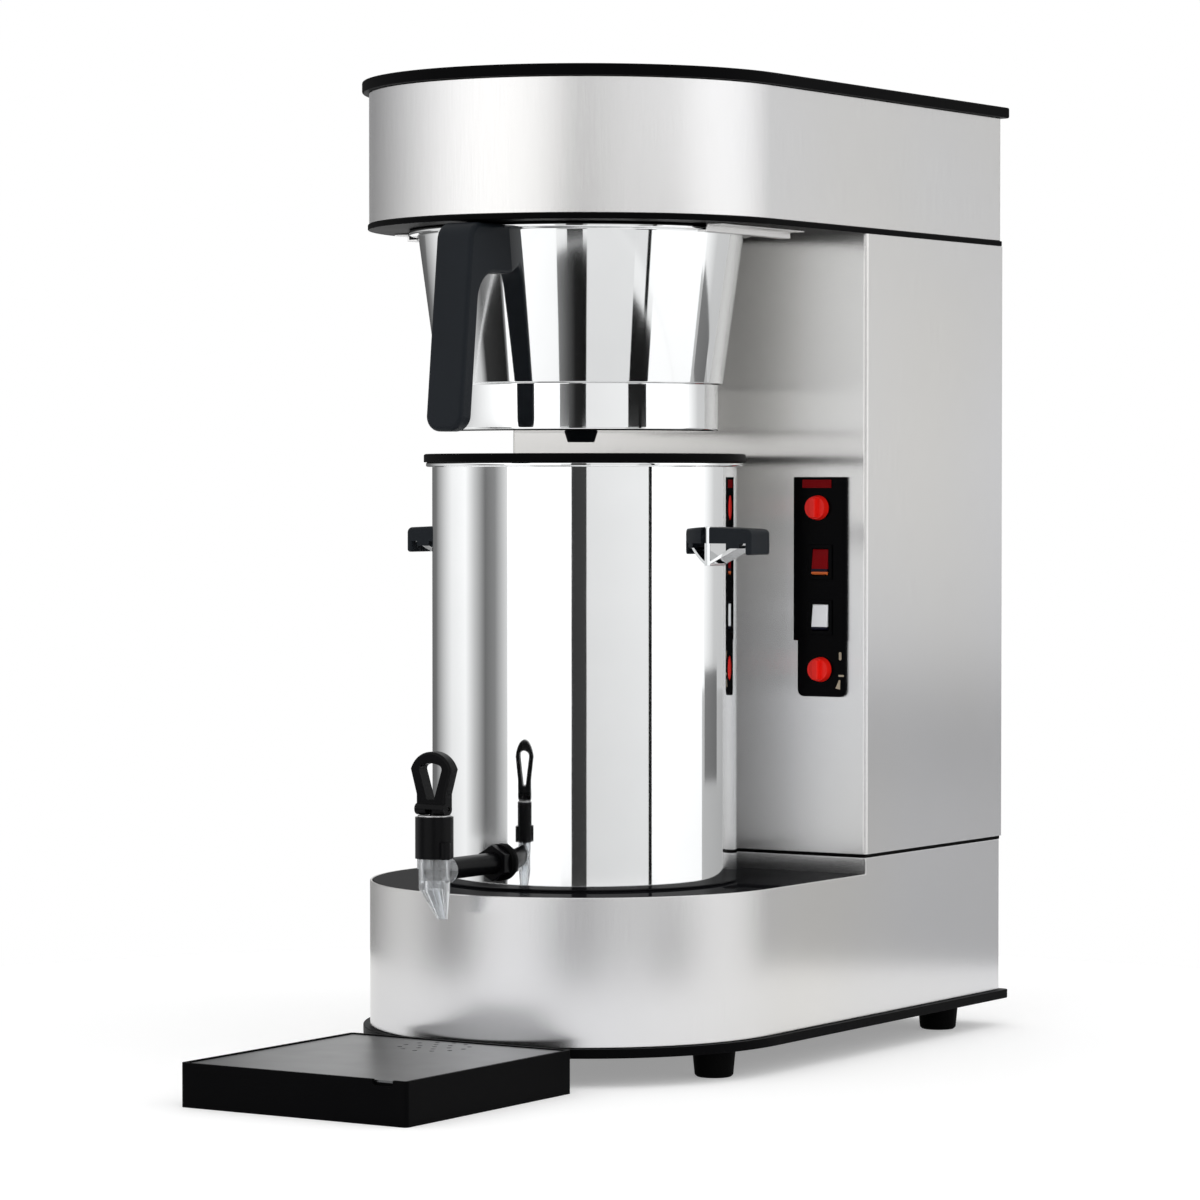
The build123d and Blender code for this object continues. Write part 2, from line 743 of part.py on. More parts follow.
with BuildPart() as side_frames:
    for side in (-1, 1):
        outer = side * frame_x
        inner = side * (frame_x - frame_sheet)
        turned = side * (frame_x - frame_flange)
        floor_z = pan_bottom + pan_floor
        with BuildSketch(at_z(floor_z)):
            add(block(min(outer, inner), max(outer, inner), frame_front_y, frame_rear_y))
        extrude(amount=column_top - floor_z)
        for level in (floor_z, column_top - frame_sheet):
            with BuildSketch(at_z(level)):
                add(block(min(outer, turned), max(outer, turned), frame_front_y, frame_rear_y))
            extrude(amount=frame_sheet)
    with BuildSketch(at_x(-frame_x)):
        with Locations(((frame_front_y + frame_rear_y) / 2, frame_hole_middle_z)):
            with GridLocations(0, frame_hole_pitch, 1, frame_hole_count):
                Circle(frame_hole_radius)
    extrude(amount=2 * frame_x, mode=Mode.SUBTRACT)
side_frames.part.label = "side_frames"
export_step(side_frames.part, "parts/side_frames.step")

# ================================================================ tank and water path
shelf_half = frame_x - frame_sheet
shelf_front_y = tank_y - tank_radius - shelf_overlap
shelf_rear_y = tank_y + tank_radius + shelf_overlap
with BuildPart() as tank_shelf:
    with BuildSketch(at_z(shelf_z)):
        add(block(-shelf_half, shelf_half, shelf_front_y, shelf_rear_y))
    extrude(amount=frame_sheet)
    for side in (-1, 1):
        edge = side * shelf_half
        inner = side * (shelf_half - frame_sheet)
        with BuildSketch(at_z(shelf_z)):
            add(block(min(edge, inner), max(edge, inner), shelf_front_y, shelf_rear_y))
        extrude(amount=-shelf_flange)
tank_shelf.part.label = "tank_shelf"
export_step(tank_shelf.part, "parts/tank_shelf.step")

with BuildPart() as boiler_tank:
    with BuildSketch(at_y(tank_y)):
        with BuildLine():
            Polyline((0, tank_bottom), (tank_radius, tank_bottom), (tank_radius, tank_top - tank_wall),
                     (tank_radius + tank_lip, tank_top - tank_wall), (tank_radius + tank_lip, tank_top),
                     (tank_radius - tank_wall, tank_top), (tank_radius - tank_wall, tank_bottom + tank_wall),
                     (0, tank_bottom + tank_wall), (0, tank_bottom))
        make_face()
    revolve(axis=upright(0, tank_y))
    with BuildSketch(at_x(inlet_x)):
        with Locations((fill_pipe_y, service_z)):
            Circle(fill_pipe_bore)
    extrude(amount=-inlet_x, mode=Mode.SUBTRACT)
boiler_tank.part.label = "boiler_tank"
export_step(boiler_tank.part, "parts/boiler_tank.step")

tank_lid_top = tank_top + tank_lid_height
with BuildPart() as tank_lid:
    with BuildSketch(at_z(tank_top)):
        with Locations((0, tank_y)):
            Circle(tank_radius + tank_lip)
        with Locations((element_x, tank_y)):
            Circle(element_hole_radius, mode=Mode.SUBTRACT)
    extrude(amount=tank_lid_height)
    with BuildSketch(at_z(tank_lid_top)):
        with Locations((0, outlet_y)):
            Circle(outlet_boss_radius)
    extrude(amount=outlet_boss_height)
    with BuildSketch(at_z(tank_top)):
        with Locations((0, outlet_y)):
            Circle(pipe_bore)
    extrude(amount=tank_lid_height + outlet_boss_height, mode=Mode.SUBTRACT)
    with BuildSketch(at_z(tank_lid_top + outlet_boss_height - outlet_socket_depth)):
        with Locations((0, outlet_y)):
            Circle(pipe_radius)
    extrude(amount=outlet_socket_depth, mode=Mode.SUBTRACT)
tank_lid.part.label = "tank_lid"
export_step(tank_lid.part, "parts/tank_lid.step")

element_low_z = tank_bottom + element_floor_gap
with BuildPart() as heating_element:
    with BuildSketch(at_z(tank_lid_top)):
        with Locations((element_x, tank_y)):
            Circle(element_flange_radius)
    extrude(amount=element_flange_height)
    with BuildLine() as element_route:
        Line((element_x - element_bend, tank_y, tank_lid_top),
             (element_x - element_bend, tank_y, element_low_z))
        ThreePointArc((element_x - element_bend, tank_y, element_low_z),
                      (element_x, tank_y, element_low_z - element_bend),
                      (element_x + element_bend, tank_y, element_low_z))
        Line((element_x + element_bend, tank_y, element_low_z),
             (element_x + element_bend, tank_y, tank_lid_top))
    with BuildSketch(at_z(tank_lid_top)):
        with Locations((element_x - element_bend, tank_y)):
            Circle(element_tube)
    sweep(path=element_route.wires()[0])
    with BuildSketch(at_z(tank_lid_top + element_flange_height)):
        with Locations((element_x - element_bend, tank_y), (element_x + element_bend, tank_y)):
            Circle(terminal_radius)
    extrude(amount=terminal_height)
heating_element.part.label = "heating_element"
export_step(heating_element.part, "parts/heating_element.step")

inlet_face_y = rear_y + inlet_hex_height
with BuildPart() as water_inlet:
    with BuildSketch(at_y(inlet_face_y)):
        with Locations((inlet_x, service_z)):
            RegularPolygon(inlet_hex / 2, 6, major_radius=False)
    extrude(amount=inlet_hex_height)
    with BuildSketch(at_y(rear_y)):
        with Locations((inlet_x, service_z)):
            Circle(inlet_body_radius)
    extrude(amount=inlet_body_length)
    with BuildSketch(at_y(inlet_face_y)):
        with Locations((inlet_x, service_z)):
            Circle(inlet_bore_radius)
    extrude(amount=inlet_bore_length, mode=Mode.SUBTRACT)
    with BuildSketch(at_y(rear_y)):
        with Locations((inlet_x, service_z)):
            Circle(fill_pipe_bore)
    extrude(amount=inlet_body_length, mode=Mode.SUBTRACT)
water_inlet.part.label = "water_inlet"
export_step(water_inlet.part, "parts/water_inlet.step")

valve_right = inlet_x + valve_size / 2
with BuildPart() as inlet_valve:
    with BuildSketch(at_y(valve_rear_y)):
        with Locations((inlet_x, service_z)):
            Rectangle(valve_size, valve_size)
    extrude(amount=valve_length)
    fillet(inlet_valve.edges().filter_by(Axis.Y), column_corner)
    with BuildSketch(at_z(service_z + valve_size / 2)):
        with Locations((inlet_x, fill_pipe_y)):
            Circle(coil_radius)
    extrude(amount=coil_height)
    with BuildSketch(at_y(valve_rear_y)):
        with Locations((inlet_x, service_z)):
            Circle(fill_pipe_bore)
    extrude(amount=valve_rear_y - fill_pipe_y, mode=Mode.SUBTRACT)
    with BuildSketch(at_x(inlet_x)):
        with Locations((fill_pipe_y, service_z)):
            Circle(fill_pipe_bore)
    extrude(amount=valve_size, mode=Mode.SUBTRACT)
inlet_valve.part.label = "inlet_valve"
export_step(inlet_valve.part, "parts/inlet_valve.step")

with BuildPart() as fill_pipe:
    with BuildSketch(at_x(valve_right)):
        with Locations((fill_pipe_y, service_z)):
            Circle(fill_pipe_radius)
            Circle(fill_pipe_bore, mode=Mode.SUBTRACT)
    extrude(amount=-valve_right)
    with BuildSketch(at_z(tank_bottom)):
        with Locations((0, tank_y)):
            Circle(tank_radius)
    extrude(amount=tank_top - tank_bottom, mode=Mode.SUBTRACT)
fill_pipe.part.label = "fill_pipe"
export_step(fill_pipe.part, "parts/fill_pipe.step")

with BuildPart() as cable_gland:
    with BuildSketch(at_y(rear_y + gland_flange_height)):
        with Locations((gland_x, service_z)):
            Circle(gland_flange_radius)
    extrude(amount=gland_flange_height)
    fillet(cable_gland.edges().group_by(Axis.Y)[-1], gland_flange_height / 2)
    with BuildSketch(at_y(rear_y)):
        with Locations((gland_x, service_z)):
            Circle(gland_body_radius)
    extrude(amount=gland_body_length)
    with BuildSketch(at_y(back_panel_front)):
        with Locations((gland_x, service_z)):
            RegularPolygon(gland_nut / 2, 6, major_radius=False)
    extrude(amount=gland_nut_height)
    with BuildSketch(at_y(rear_y + gland_flange_height)):
        with Locations((gland_x, service_z)):
            Circle(gland_bore_radius)
    extrude(amount=gland_flange_height + gland_body_length, mode=Mode.SUBTRACT)
cable_gland.part.label = "cable_gland"
export_step(cable_gland.part, "parts/cable_gland.step")

spray_face_z = column_top + spray_recess
spray_lip_top = head_bottom + spray_lip_height
spray_hub_top = spray_lip_top + spray_hub_height
spray_socket_z = spray_hub_top - spray_socket_depth
outlet_socket_z = tank_lid_top + outlet_boss_height - outlet_socket_depth
with BuildPart() as spray_pipe:
    with BuildLine() as spray_route:
        FilletPolyline((0, outlet_y, outlet_socket_z), (0, outlet_y, pipe_top_z),
                       (0, brew_y, pipe_top_z), (0, brew_y, spray_socket_z), radius=pipe_bend)
    with BuildSketch(at_z(outlet_socket_z)):
        with Locations((0, outlet_y)):
            Circle(pipe_radius)
            Circle(pipe_bore, mode=Mode.SUBTRACT)
    sweep(path=spray_route.wires()[0])
spray_pipe.part.label = "spray_pipe"
export_step(spray_pipe.part, "parts/spray_pipe.step")

with BuildPart() as spray_head:
    with BuildSketch(at_z(spray_face_z)):
        with Locations((0, brew_y)):
            Circle(spray_radius)
    extrude(amount=head_bottom - spray_face_z)
    with BuildSketch(at_z(head_bottom)):
        with Locations((0, brew_y)):
            Circle(spray_radius + spray_lip)
    extrude(amount=spray_lip_height)
    with BuildSketch(at_z(spray_lip_top)):
        with Locations((0, brew_y)):
            Circle(spray_hub_radius)
    extrude(amount=spray_hub_height)
    with BuildSketch(at_z(spray_socket_z)):
        with Locations((0, brew_y)):
            Circle(pipe_radius)
    extrude(amount=spray_socket_depth, mode=Mode.SUBTRACT)
    with BuildSketch(at_z(spray_face_z)):
        add(hole_rings(0, brew_y, spray_hole_radius, spray_ring_pitch, spray_ring_count))
    extrude(amount=spray_socket_z - spray_face_z, mode=Mode.SUBTRACT)
spray_head.part.label = "spray_head"
export_step(spray_head.part, "parts/spray_head.step")

# ================================================================ head
with BuildPart() as head_underplate:
    with BuildSketch(at_z(column_top)):
        add(d_plan(plate_overhang, rear_y + plate_overhang))
        with Locations((0, brew_y)):
            Circle(spray_radius + spray_gap, mode=Mode.SUBTRACT)
        add(block(-service_opening_x, service_opening_x, column_front_y + service_opening_front_gap,
                  rear_y - service_opening_rear_gap), mode=Mode.SUBTRACT)
    extrude(amount=plate_height)
head_underplate.part.label = "head_underplate"
export_step(head_underplate.part, "parts/head_underplate.step")

with BuildPart() as head_shell:
    with BuildSketch(at_z(head_bottom)):
        add(d_plan(0, rear_y))
        add(d_plan(-sheet, rear_y - sheet), mode=Mode.SUBTRACT)
    extrude(amount=head_height)
    with BuildSketch(at_z(head_bottom)):
        add(d_plan(-sheet, rear_y - sheet))
        add(d_plan(-sheet - flange_width, rear_y - sheet - flange_width), mode=Mode.SUBTRACT)
    extrude(amount=sheet)
head_shell.part.label = "head_shell"
export_step(head_shell.part, "parts/head_shell.step")

with BuildPart() as top_lid:
    with BuildSketch(at_z(head_top)):
        add(d_plan(lid_overhang, rear_y + lid_overhang))
    extrude(amount=lid_height)
    fillet(top_lid.edges().group_by(Axis.Z)[-1], lid_skin / 2)
    with BuildSketch(at_z(head_top)):
        add(d_plan(-lid_rim, rear_y - lid_rim))
    extrude(amount=lid_height - lid_skin, mode=Mode.SUBTRACT)
    with BuildSketch(at_z(head_top)):
        add(d_plan(-sheet - fit_gap, rear_y - sheet - fit_gap))
        add(d_plan(-sheet - fit_gap - lid_rib_width, rear_y - sheet - fit_gap - lid_rib_width),
            mode=Mode.SUBTRACT)
    extrude(amount=-lid_rib_depth)
top_lid.part.label = "top_lid"
export_step(top_lid.part, "parts/top_lid.step")

rail_lip_top = basket_flange_z - slide_clearance
with BuildPart() as basket_rails:
    for side in (-1, 1):
        web_in = side * rail_web_x
        web_out = side * (rail_web_x + sheet)
        lip = side * rail_lip_x
        tip = side * rail_flange_x
        with BuildSketch(at_y(brew_y + rail_behind)):
            add(block(min(web_in, web_out), max(web_in, web_out), rail_lip_top - sheet, column_top))
            add(block(min(lip, web_in), max(lip, web_in), rail_lip_top - sheet, rail_lip_top))
            add(block(min(web_out, tip), max(web_out, tip), column_top - sheet, column_top))
        extrude(amount=rail_ahead + rail_behind)
basket_rails.part.label = "basket_rails"
export_step(basket_rails.part, "parts/basket_rails.step")

# ================================================================ filter basket
basket_flange_top = basket_flange_z + basket_flange_height
with BuildPart() as basket_shell:
    with BuildSketch(at_y(brew_y)):
        with BuildLine():
            Polyline((basket_outlet_radius, basket_bottom_z), (basket_foot_radius, basket_bottom_z),
                     (basket_foot_radius, basket_step_z - basket_wall),
                     (basket_waist_radius, basket_step_z - basket_wall),
                     (basket_top_radius, basket_flange_z), (basket_flange_radius, basket_flange_z),
                     (basket_flange_radius, basket_flange_top),
                     (basket_top_radius - basket_wall, basket_flange_top),
                     (basket_top_radius - basket_wall, basket_flange_z),
                     (basket_waist_radius - basket_wall, basket_step_z),
                     (basket_foot_radius - basket_wall, basket_step_z),
                     (basket_foot_radius - basket_wall, basket_bottom_z + basket_wall),
                     (basket_outlet_radius, basket_bottom_z + basket_wall),
                     (basket_outlet_radius, basket_bottom_z))
        make_face()
    revolve(axis=upright(0, brew_y))
    fillet(basket_shell.edges().filter_by(GeomType.CIRCLE).group_by(SortBy.RADIUS)[-1],
           basket_flange_round)
basket_shell.part.label = "basket_shell"
export_step(basket_shell.part, "parts/basket_shell.step")

nozzle_low_z = basket_bottom_z - nozzle_drop
with BuildPart() as basket_nozzle:
    with BuildSketch(at_y(brew_y)):
        with BuildLine():
            Polyline((nozzle_bore, nozzle_low_z), (nozzle_tip_radius, nozzle_low_z),
                     (nozzle_radius, basket_bottom_z), (basket_outlet_radius, basket_bottom_z),
                     (basket_outlet_radius, basket_bottom_z + basket_wall),
                     (nozzle_radius, basket_bottom_z + basket_wall),
                     (nozzle_radius, basket_bottom_z + basket_wall + nozzle_flange_height),
                     (nozzle_bore, basket_bottom_z + basket_wall + nozzle_flange_height),
                     (nozzle_bore, nozzle_low_z))
        make_face()
    revolve(axis=upright(0, brew_y))
basket_nozzle.part.label = "basket_nozzle"
export_step(basket_nozzle.part, "parts/basket_nozzle.step")

with BuildPart() as basket_screen:
    with BuildSketch(at_z(basket_step_z)):
        with Locations((0, brew_y)):
            Circle(basket_waist_radius - basket_wall - fit_gap)
        add(hole_rings(0, brew_y, screen_hole_radius, screen_ring_pitch, screen_ring_count),
            mode=Mode.SUBTRACT)
    extrude(amount=screen_thickness)
basket_screen.part.label = "basket_screen"
export_step(basket_screen.part, "parts/basket_screen.step")

grip_top = column_top - grip_top_gap
grip_drop = grip_top - grip_bottom_z
grip_slope = tan(radians(grip_lean))
grip_foot_y = grip_front_y - grip_drop * grip_slope
grip_inner_z = grip_top - grip_block_height
grip_inner_y = grip_front_y - grip_block_height * grip_slope + grip_thickness
grip_root_y = brew_y - basket_foot_radius
with BuildPart() as basket_handle:
    with BuildSketch(at_x(-grip_half_width)) as grip_side:
        with BuildLine():
            Polyline((grip_root_y, grip_top), (grip_front_y, grip_top), (grip_foot_y, grip_bottom_z),
                     (grip_foot_y + grip_thickness, grip_bottom_z), (grip_inner_y, grip_inner_z),
                     (grip_root_y, grip_inner_z), (grip_root_y, grip_top))
        make_face()
        for corner, radius in (((grip_front_y, grip_top), grip_outer_round),
                               ((grip_inner_y, grip_inner_z), grip_inner_round)):
            fillet(grip_side.vertices().sort_by_distance(Vector(*corner))[0], radius)
    extrude(amount=2 * grip_half_width)
    fillet(basket_handle.faces().sort_by(Axis.Z)[0].edges().filter_by(Axis.Y), grip_side_round)
    side_edges = [edge for edge in basket_handle.edges()
                  if abs(edge.center().X) > grip_edge and edge.center().Y < grip_root_y - grip_edge]
    fillet(side_edges, grip_edge)
    with BuildSketch(at_y(brew_y)):
        with BuildLine():
            Polyline((0, basket_step_z - basket_wall), (basket_waist_radius, basket_step_z - basket_wall),
                     (basket_top_radius, basket_flange_z),
                     (basket_flange_radius, basket_flange_z), (basket_flange_radius, column_top),
                     (0, column_top), (0, basket_step_z - basket_wall))
        make_face()
    revolve(axis=upright(0, brew_y), mode=Mode.SUBTRACT)
basket_handle.part.label = "basket_handle"
export_step(basket_handle.part, "parts/basket_handle.step")

# ================================================================ urn
with BuildPart() as urn_shell:
    with BuildSketch(at_z(deck_top)):
        Circle(urn_radius)
    extrude(amount=urn_height)
    with BuildSketch(at_z(deck_top + urn_wall)):
        Circle(urn_radius - urn_wall)
    extrude(amount=urn_height, mode=Mode.SUBTRACT)
    with BuildSketch(at_y(0)):
        with Locations((0, shank_z)):
            Circle(wall_hole_radius)
    extrude(amount=urn_radius, mode=Mode.SUBTRACT)
urn_shell.part.label = "urn_shell"
export_step(urn_shell.part, "parts/urn_shell.step")

with BuildPart() as urn_liner:
    with BuildSketch(at_z(liner_floor)):
        Circle(liner_radius)
    extrude(amount=urn_top - liner_floor)
    with BuildSketch(at_z(liner_floor + urn_wall)):
        Circle(liner_inner)
    extrude(amount=urn_top - liner_floor, mode=Mode.SUBTRACT)
    with BuildSketch(at_y(0)):
        with Locations((0, shank_z)):
            Circle(wall_hole_radius)
    extrude(amount=urn_radius, mode=Mode.SUBTRACT)
urn_liner.part.label = "urn_liner"
export_step(urn_liner.part, "parts/urn_liner.step")

foam_low = deck_top + urn_wall
foam_outer = urn_radius - urn_wall - foam_gap
foam_inner = liner_radius + foam_gap
with BuildPart() as urn_insulation:
    with BuildSketch(at_z(foam_low)):
        Circle(foam_outer)
    extrude(amount=urn_top - foam_gap - foam_low)
    with BuildSketch(at_z(liner_floor)):
        Circle(foam_inner)
    extrude(amount=urn_height, mode=Mode.SUBTRACT)
    with BuildSketch(at_y(0)):
        with Locations((0, shank_z)):
            Circle(wall_hole_radius)
    extrude(amount=urn_radius, mode=Mode.SUBTRACT)
urn_insulation.part.label = "urn_insulation"
export_step(urn_insulation.part, "parts/urn_insulation.step")

with BuildPart() as urn_rim:
    with BuildSketch(at_z(urn_top)):
        Circle(urn_rim_radius)
        Circle(liner_inner, mode=Mode.SUBTRACT)
    extrude(amount=urn_rim_height)
    fillet(urn_rim.edges().filter_by(GeomType.CIRCLE).group_by(SortBy.RADIUS)[-1], urn_rim_round)
urn_rim.part.label = "urn_rim"
export_step(urn_rim.part, "parts/urn_rim.step")

with BuildPart() as urn_lid:
    with BuildSketch(at_z(rim_top)):
        Circle(urn_lid_radius)
    extrude(amount=urn_lid_height)
    fillet(urn_lid.edges().group_by(Axis.Z)[-1], urn_lid_round)
    with BuildSketch(at_z(rim_top)):
        Circle(urn_lid_radius - urn_lid_edge)
    extrude(amount=urn_lid_height - urn_lid_skin, mode=Mode.SUBTRACT)
    with BuildSketch(at_z(rim_top)):
        Circle(liner_inner - fit_gap)
        Circle(liner_inner - fit_gap - urn_lid_spigot_wall, mode=Mode.SUBTRACT)
    extrude(amount=-urn_lid_spigot)
    with BuildSketch(at_z(rim_top)):
        Circle(urn_lid_hole)
    extrude(amount=urn_lid_height, mode=Mode.SUBTRACT)
urn_lid.part.label = "urn_lid"
export_step(urn_lid.part, "parts/urn_lid.step")

# ================================================================ urn handles
strap_low = bracket_bar_z - bracket_sheet / 2
strap_high = bracket_bar_z + bracket_sheet / 2


def strap_outline(side):
    """The bent strap seen from the front: a foot on the wall, a level bar and a slanting brace."""
    wall = urn_radius - bracket_sheet
    foot = urn_radius + bracket_sheet
    with BuildSketch() as outline:
        with BuildLine():
            Polyline((wall, bracket_foot_low), (foot, bracket_foot_low),
                     (foot, bracket_knee_z - brace_height),
                     (bracket_reach, strap_low - brace_height), (bracket_reach, strap_high),
                     (foot, strap_high), (foot, bracket_foot_high), (wall, bracket_foot_high),
                     (wall, bracket_foot_low))
        make_face()
        with BuildLine():
            Polyline((foot, strap_low), (bracket_reach - bracket_sheet * 2, strap_low),
                     (foot, bracket_knee_z), (foot, strap_low))
        make_face(mode=Mode.SUBTRACT)
    return outline.sketch if side > 0 else mirror(outline.sketch, about=Plane.YZ)


def ear_outline(side):
    """The black grip seen from the front: a flat top, a block above the fingers and a curled end."""
    with BuildSketch() as outline:
        with BuildLine():
            Polyline((urn_radius + ear_wall_gap, ear_underside), (urn_radius + ear_wall_gap, ear_top),
                     (grip_reach, ear_top - ear_slope), (grip_reach, ear_hook_z),
                     (ear_hook_x, ear_hook_z), (ear_hook_x, ear_underside),
                     (urn_radius + ear_block_end, ear_underside),
                     (urn_radius + ear_block_end, ear_block_z),
                     (urn_radius + ear_block_start, ear_block_z),
                     (urn_radius + ear_block_start, ear_underside),
                     (urn_radius + ear_wall_gap, ear_underside))
        make_face()
        for corner, radius in (((grip_reach, ear_top - ear_slope), ear_round * 2),
                               ((grip_reach, ear_hook_z), ear_round),
                               ((ear_hook_x, ear_hook_z), ear_round / 2)):
            fillet(outline.vertices().sort_by_distance(Vector(*corner))[0], radius)
    return outline.sketch if side > 0 else mirror(outline.sketch, about=Plane.YZ)


for side, name in ((-1, "left"), (1, "right")):
    with BuildPart() as handle_bracket:
        with BuildSketch(at_y(bracket_width / 2)):
            add(strap_outline(side))
        extrude(amount=bracket_width)
        with BuildSketch(at_z(deck_top)):
            Circle(urn_radius)
        extrude(amount=urn_height, mode=Mode.SUBTRACT)
    handle_bracket.part.label = f"handle_bracket_{name}"
    export_step(handle_bracket.part, f"parts/handle_bracket_{name}.step")

    with BuildPart() as handle_grip:
        with BuildSketch(at_y(ear_width / 2)):
            add(ear_outline(side))
        extrude(amount=ear_width)
        fillet(handle_grip.faces().group_by(Axis.Y)[0].edges().group_by(Axis.Z)[-1], ear_round)
        fillet(handle_grip.faces().group_by(Axis.Y)[-1].edges().group_by(Axis.Z)[-1], ear_round)
        with BuildSketch(at_y(bracket_width / 2)):
            add(strap_outline(side))
        extrude(amount=bracket_width, mode=Mode.SUBTRACT)
    handle_grip.part.label = f"handle_grip_{name}"
    export_step(handle_grip.part, f"parts/handle_grip_{name}.step")

# ================================================================ tap
with BuildPart() as tap_shank:
    with BuildSketch(at_y(shank_inner_y)):
        with Locations((0, shank_z)):
            Circle(shank_radius)
            Circle(shank_bore, mode=Mode.SUBTRACT)
    extrude(amount=shank_inner_y - shank_outer_y)
tap_shank.part.label = "tap_shank"
export_step(tap_shank.part, "parts/tap_shank.step")

inner_seal_y = -liner_inner + seal_thickness
outer_seal_y = -urn_radius - seal_thickness
with BuildPart() as tap_seals:
    for rear in (inner_seal_y, -urn_radius + seal_thickness):
        with BuildSketch(at_y(rear)):
            with Locations((0, shank_z)):
                Circle(seal_radius)
                Circle(shank_radius, mode=Mode.SUBTRACT)
        extrude(amount=2 * seal_thickness)
    with BuildSketch(at_z(deck_top)):
        Circle(urn_radius)
        Circle(liner_inner, mode=Mode.SUBTRACT)
    extrude(amount=urn_height, mode=Mode.SUBTRACT)
tap_seals.part.label = "tap_seals"
export_step(tap_seals.part, "parts/tap_seals.step")

with BuildPart() as tap_nuts:
    for rear in (inner_seal_y + tap_nut_height, outer_seal_y):
        with BuildSketch(at_y(rear)):
            with Locations((0, shank_z)):
                RegularPolygon(tap_nut_flats / 2, 6, major_radius=False, rotation=flat_down)
                Circle(shank_radius, mode=Mode.SUBTRACT)
        extrude(amount=tap_nut_height)
tap_nuts.part.label = "tap_nuts"
export_step(tap_nuts.part, "parts/tap_nuts.step")

neck_top = tap_body_top + neck_height
with BuildPart() as tap_body:
    with BuildSketch(at_z(spout_start_z)):
        with Locations((0, tap_y)):
            Circle(tap_barrel_radius)
    extrude(amount=tap_shoulder_z - spout_start_z)
    with BuildSketch(at_z(tap_shoulder_z)):
        with Locations((0, tap_y)):
            Circle(tap_body_radius)
    extrude(amount=tap_body_top - tap_shoulder_z)
    with BuildSketch(at_z(tap_body_top)):
        with Locations((0, tap_y)):
            Circle(neck_radius)
    extrude(amount=neck_height)
    with BuildSketch(at_y(tap_boss_y)):
        with Locations((0, shank_z - tap_boss_drop)):
            Circle(tap_boss_radius)
    extrude(amount=tap_boss_y - tap_y)
    with BuildSketch(at_z(spout_start_z)):
        with Locations((0, tap_y)):
            Circle(tap_barrel_radius)
    with BuildSketch(at_z(spout_tip_z)):
        with Locations((0, spout_tip_y)):
            Circle(spout_tip_radius)
    loft()
    with BuildSketch(at_z(seat_z)):
        with Locations((0, tap_y)):
            Circle(valve_bore)
    extrude(amount=neck_top - seat_z, mode=Mode.SUBTRACT)
    with BuildSketch(at_z(spout_start_z)):
        with Locations((0, tap_y)):
            Circle(seat_bore)
    extrude(amount=seat_z - spout_start_z, mode=Mode.SUBTRACT)
    with BuildSketch(at_z(spout_start_z)):
        with Locations((0, tap_y)):
            Circle(seat_bore)
    with BuildSketch(at_z(spout_tip_z)):
        with Locations((0, spout_tip_y)):
            Circle(spout_tip_radius - spout_wall)
    loft(mode=Mode.SUBTRACT)
    with BuildSketch(at_y(tap_boss_y)):
        with Locations((0, shank_z)):
            Circle(shank_radius)
    extrude(amount=tap_boss_y - shank_outer_y, mode=Mode.SUBTRACT)
    with BuildSketch(at_y(tap_boss_y)):
        with Locations((0, shank_z)):
            Circle(shank_bore)
    extrude(amount=tap_boss_y - tap_y, mode=Mode.SUBTRACT)
tap_body.part.label = "tap_body"
export_step(tap_body.part, "parts/tap_body.step")

with BuildPart() as tap_bonnet:
    with BuildSketch(at_z(tap_body_top)):
        with Locations((0, tap_y)):
            Circle(bonnet_radius)
    extrude(amount=bonnet_height)
    with BuildSketch(at_z(tap_body_top)) as wings:
        with Locations((0, tap_y)):
            Rectangle(2 * wing_reach, wing_thickness, rotation=wing_turn)
        fillet(wings.vertices(), wing_round)
    extrude(amount=wing_height)
    with BuildSketch(at_z(tap_body_top)):
        with Locations((0, tap_y)):
            Circle(bonnet_bore)
    extrude(amount=bonnet_socket, mode=Mode.SUBTRACT)
    with BuildSketch(at_z(tap_body_top)):
        with Locations((0, tap_y)):
            Circle(bonnet_chamber)
    extrude(amount=bonnet_height - bonnet_cap, mode=Mode.SUBTRACT)
    with BuildSketch(at_z(tap_body_top)):
        with Locations((0, tap_y)):
            Circle(stem_hole)
    extrude(amount=bonnet_height, mode=Mode.SUBTRACT)
tap_bonnet.part.label = "tap_bonnet"
export_step(tap_bonnet.part, "parts/tap_bonnet.step")

with BuildPart() as bonnet_ring:
    with BuildSketch(at_z(bonnet_top)):
        with Locations((0, tap_y)):
            Circle(ring_radius)
            Circle(stem_hole, mode=Mode.SUBTRACT)
    extrude(amount=ring_height)
bonnet_ring.part.label = "bonnet_ring"
export_step(bonnet_ring.part, "parts/bonnet_ring.step")

cup_top = seat_z + cup_height
with BuildPart() as tap_stem:
    with BuildSketch(at_z(cup_top - stem_in_cup)):
        with Locations((0, tap_y)):
            Circle(stem_radius)
    extrude(amount=pin_z + stem_head - (cup_top - stem_in_cup))
    with BuildSketch(at_z(stem_collar_z)):
        with Locations((0, tap_y)):
            Circle(stem_collar_radius)
    extrude(amount=stem_collar_height)
    with BuildSketch(at_x(-stem_radius)):
        with Locations((tap_y, pin_z)):
            Circle(pin_radius + pin_fit)
    extrude(amount=2 * stem_radius, mode=Mode.SUBTRACT)
tap_stem.part.label = "tap_stem"
export_step(tap_stem.part, "parts/tap_stem.step")

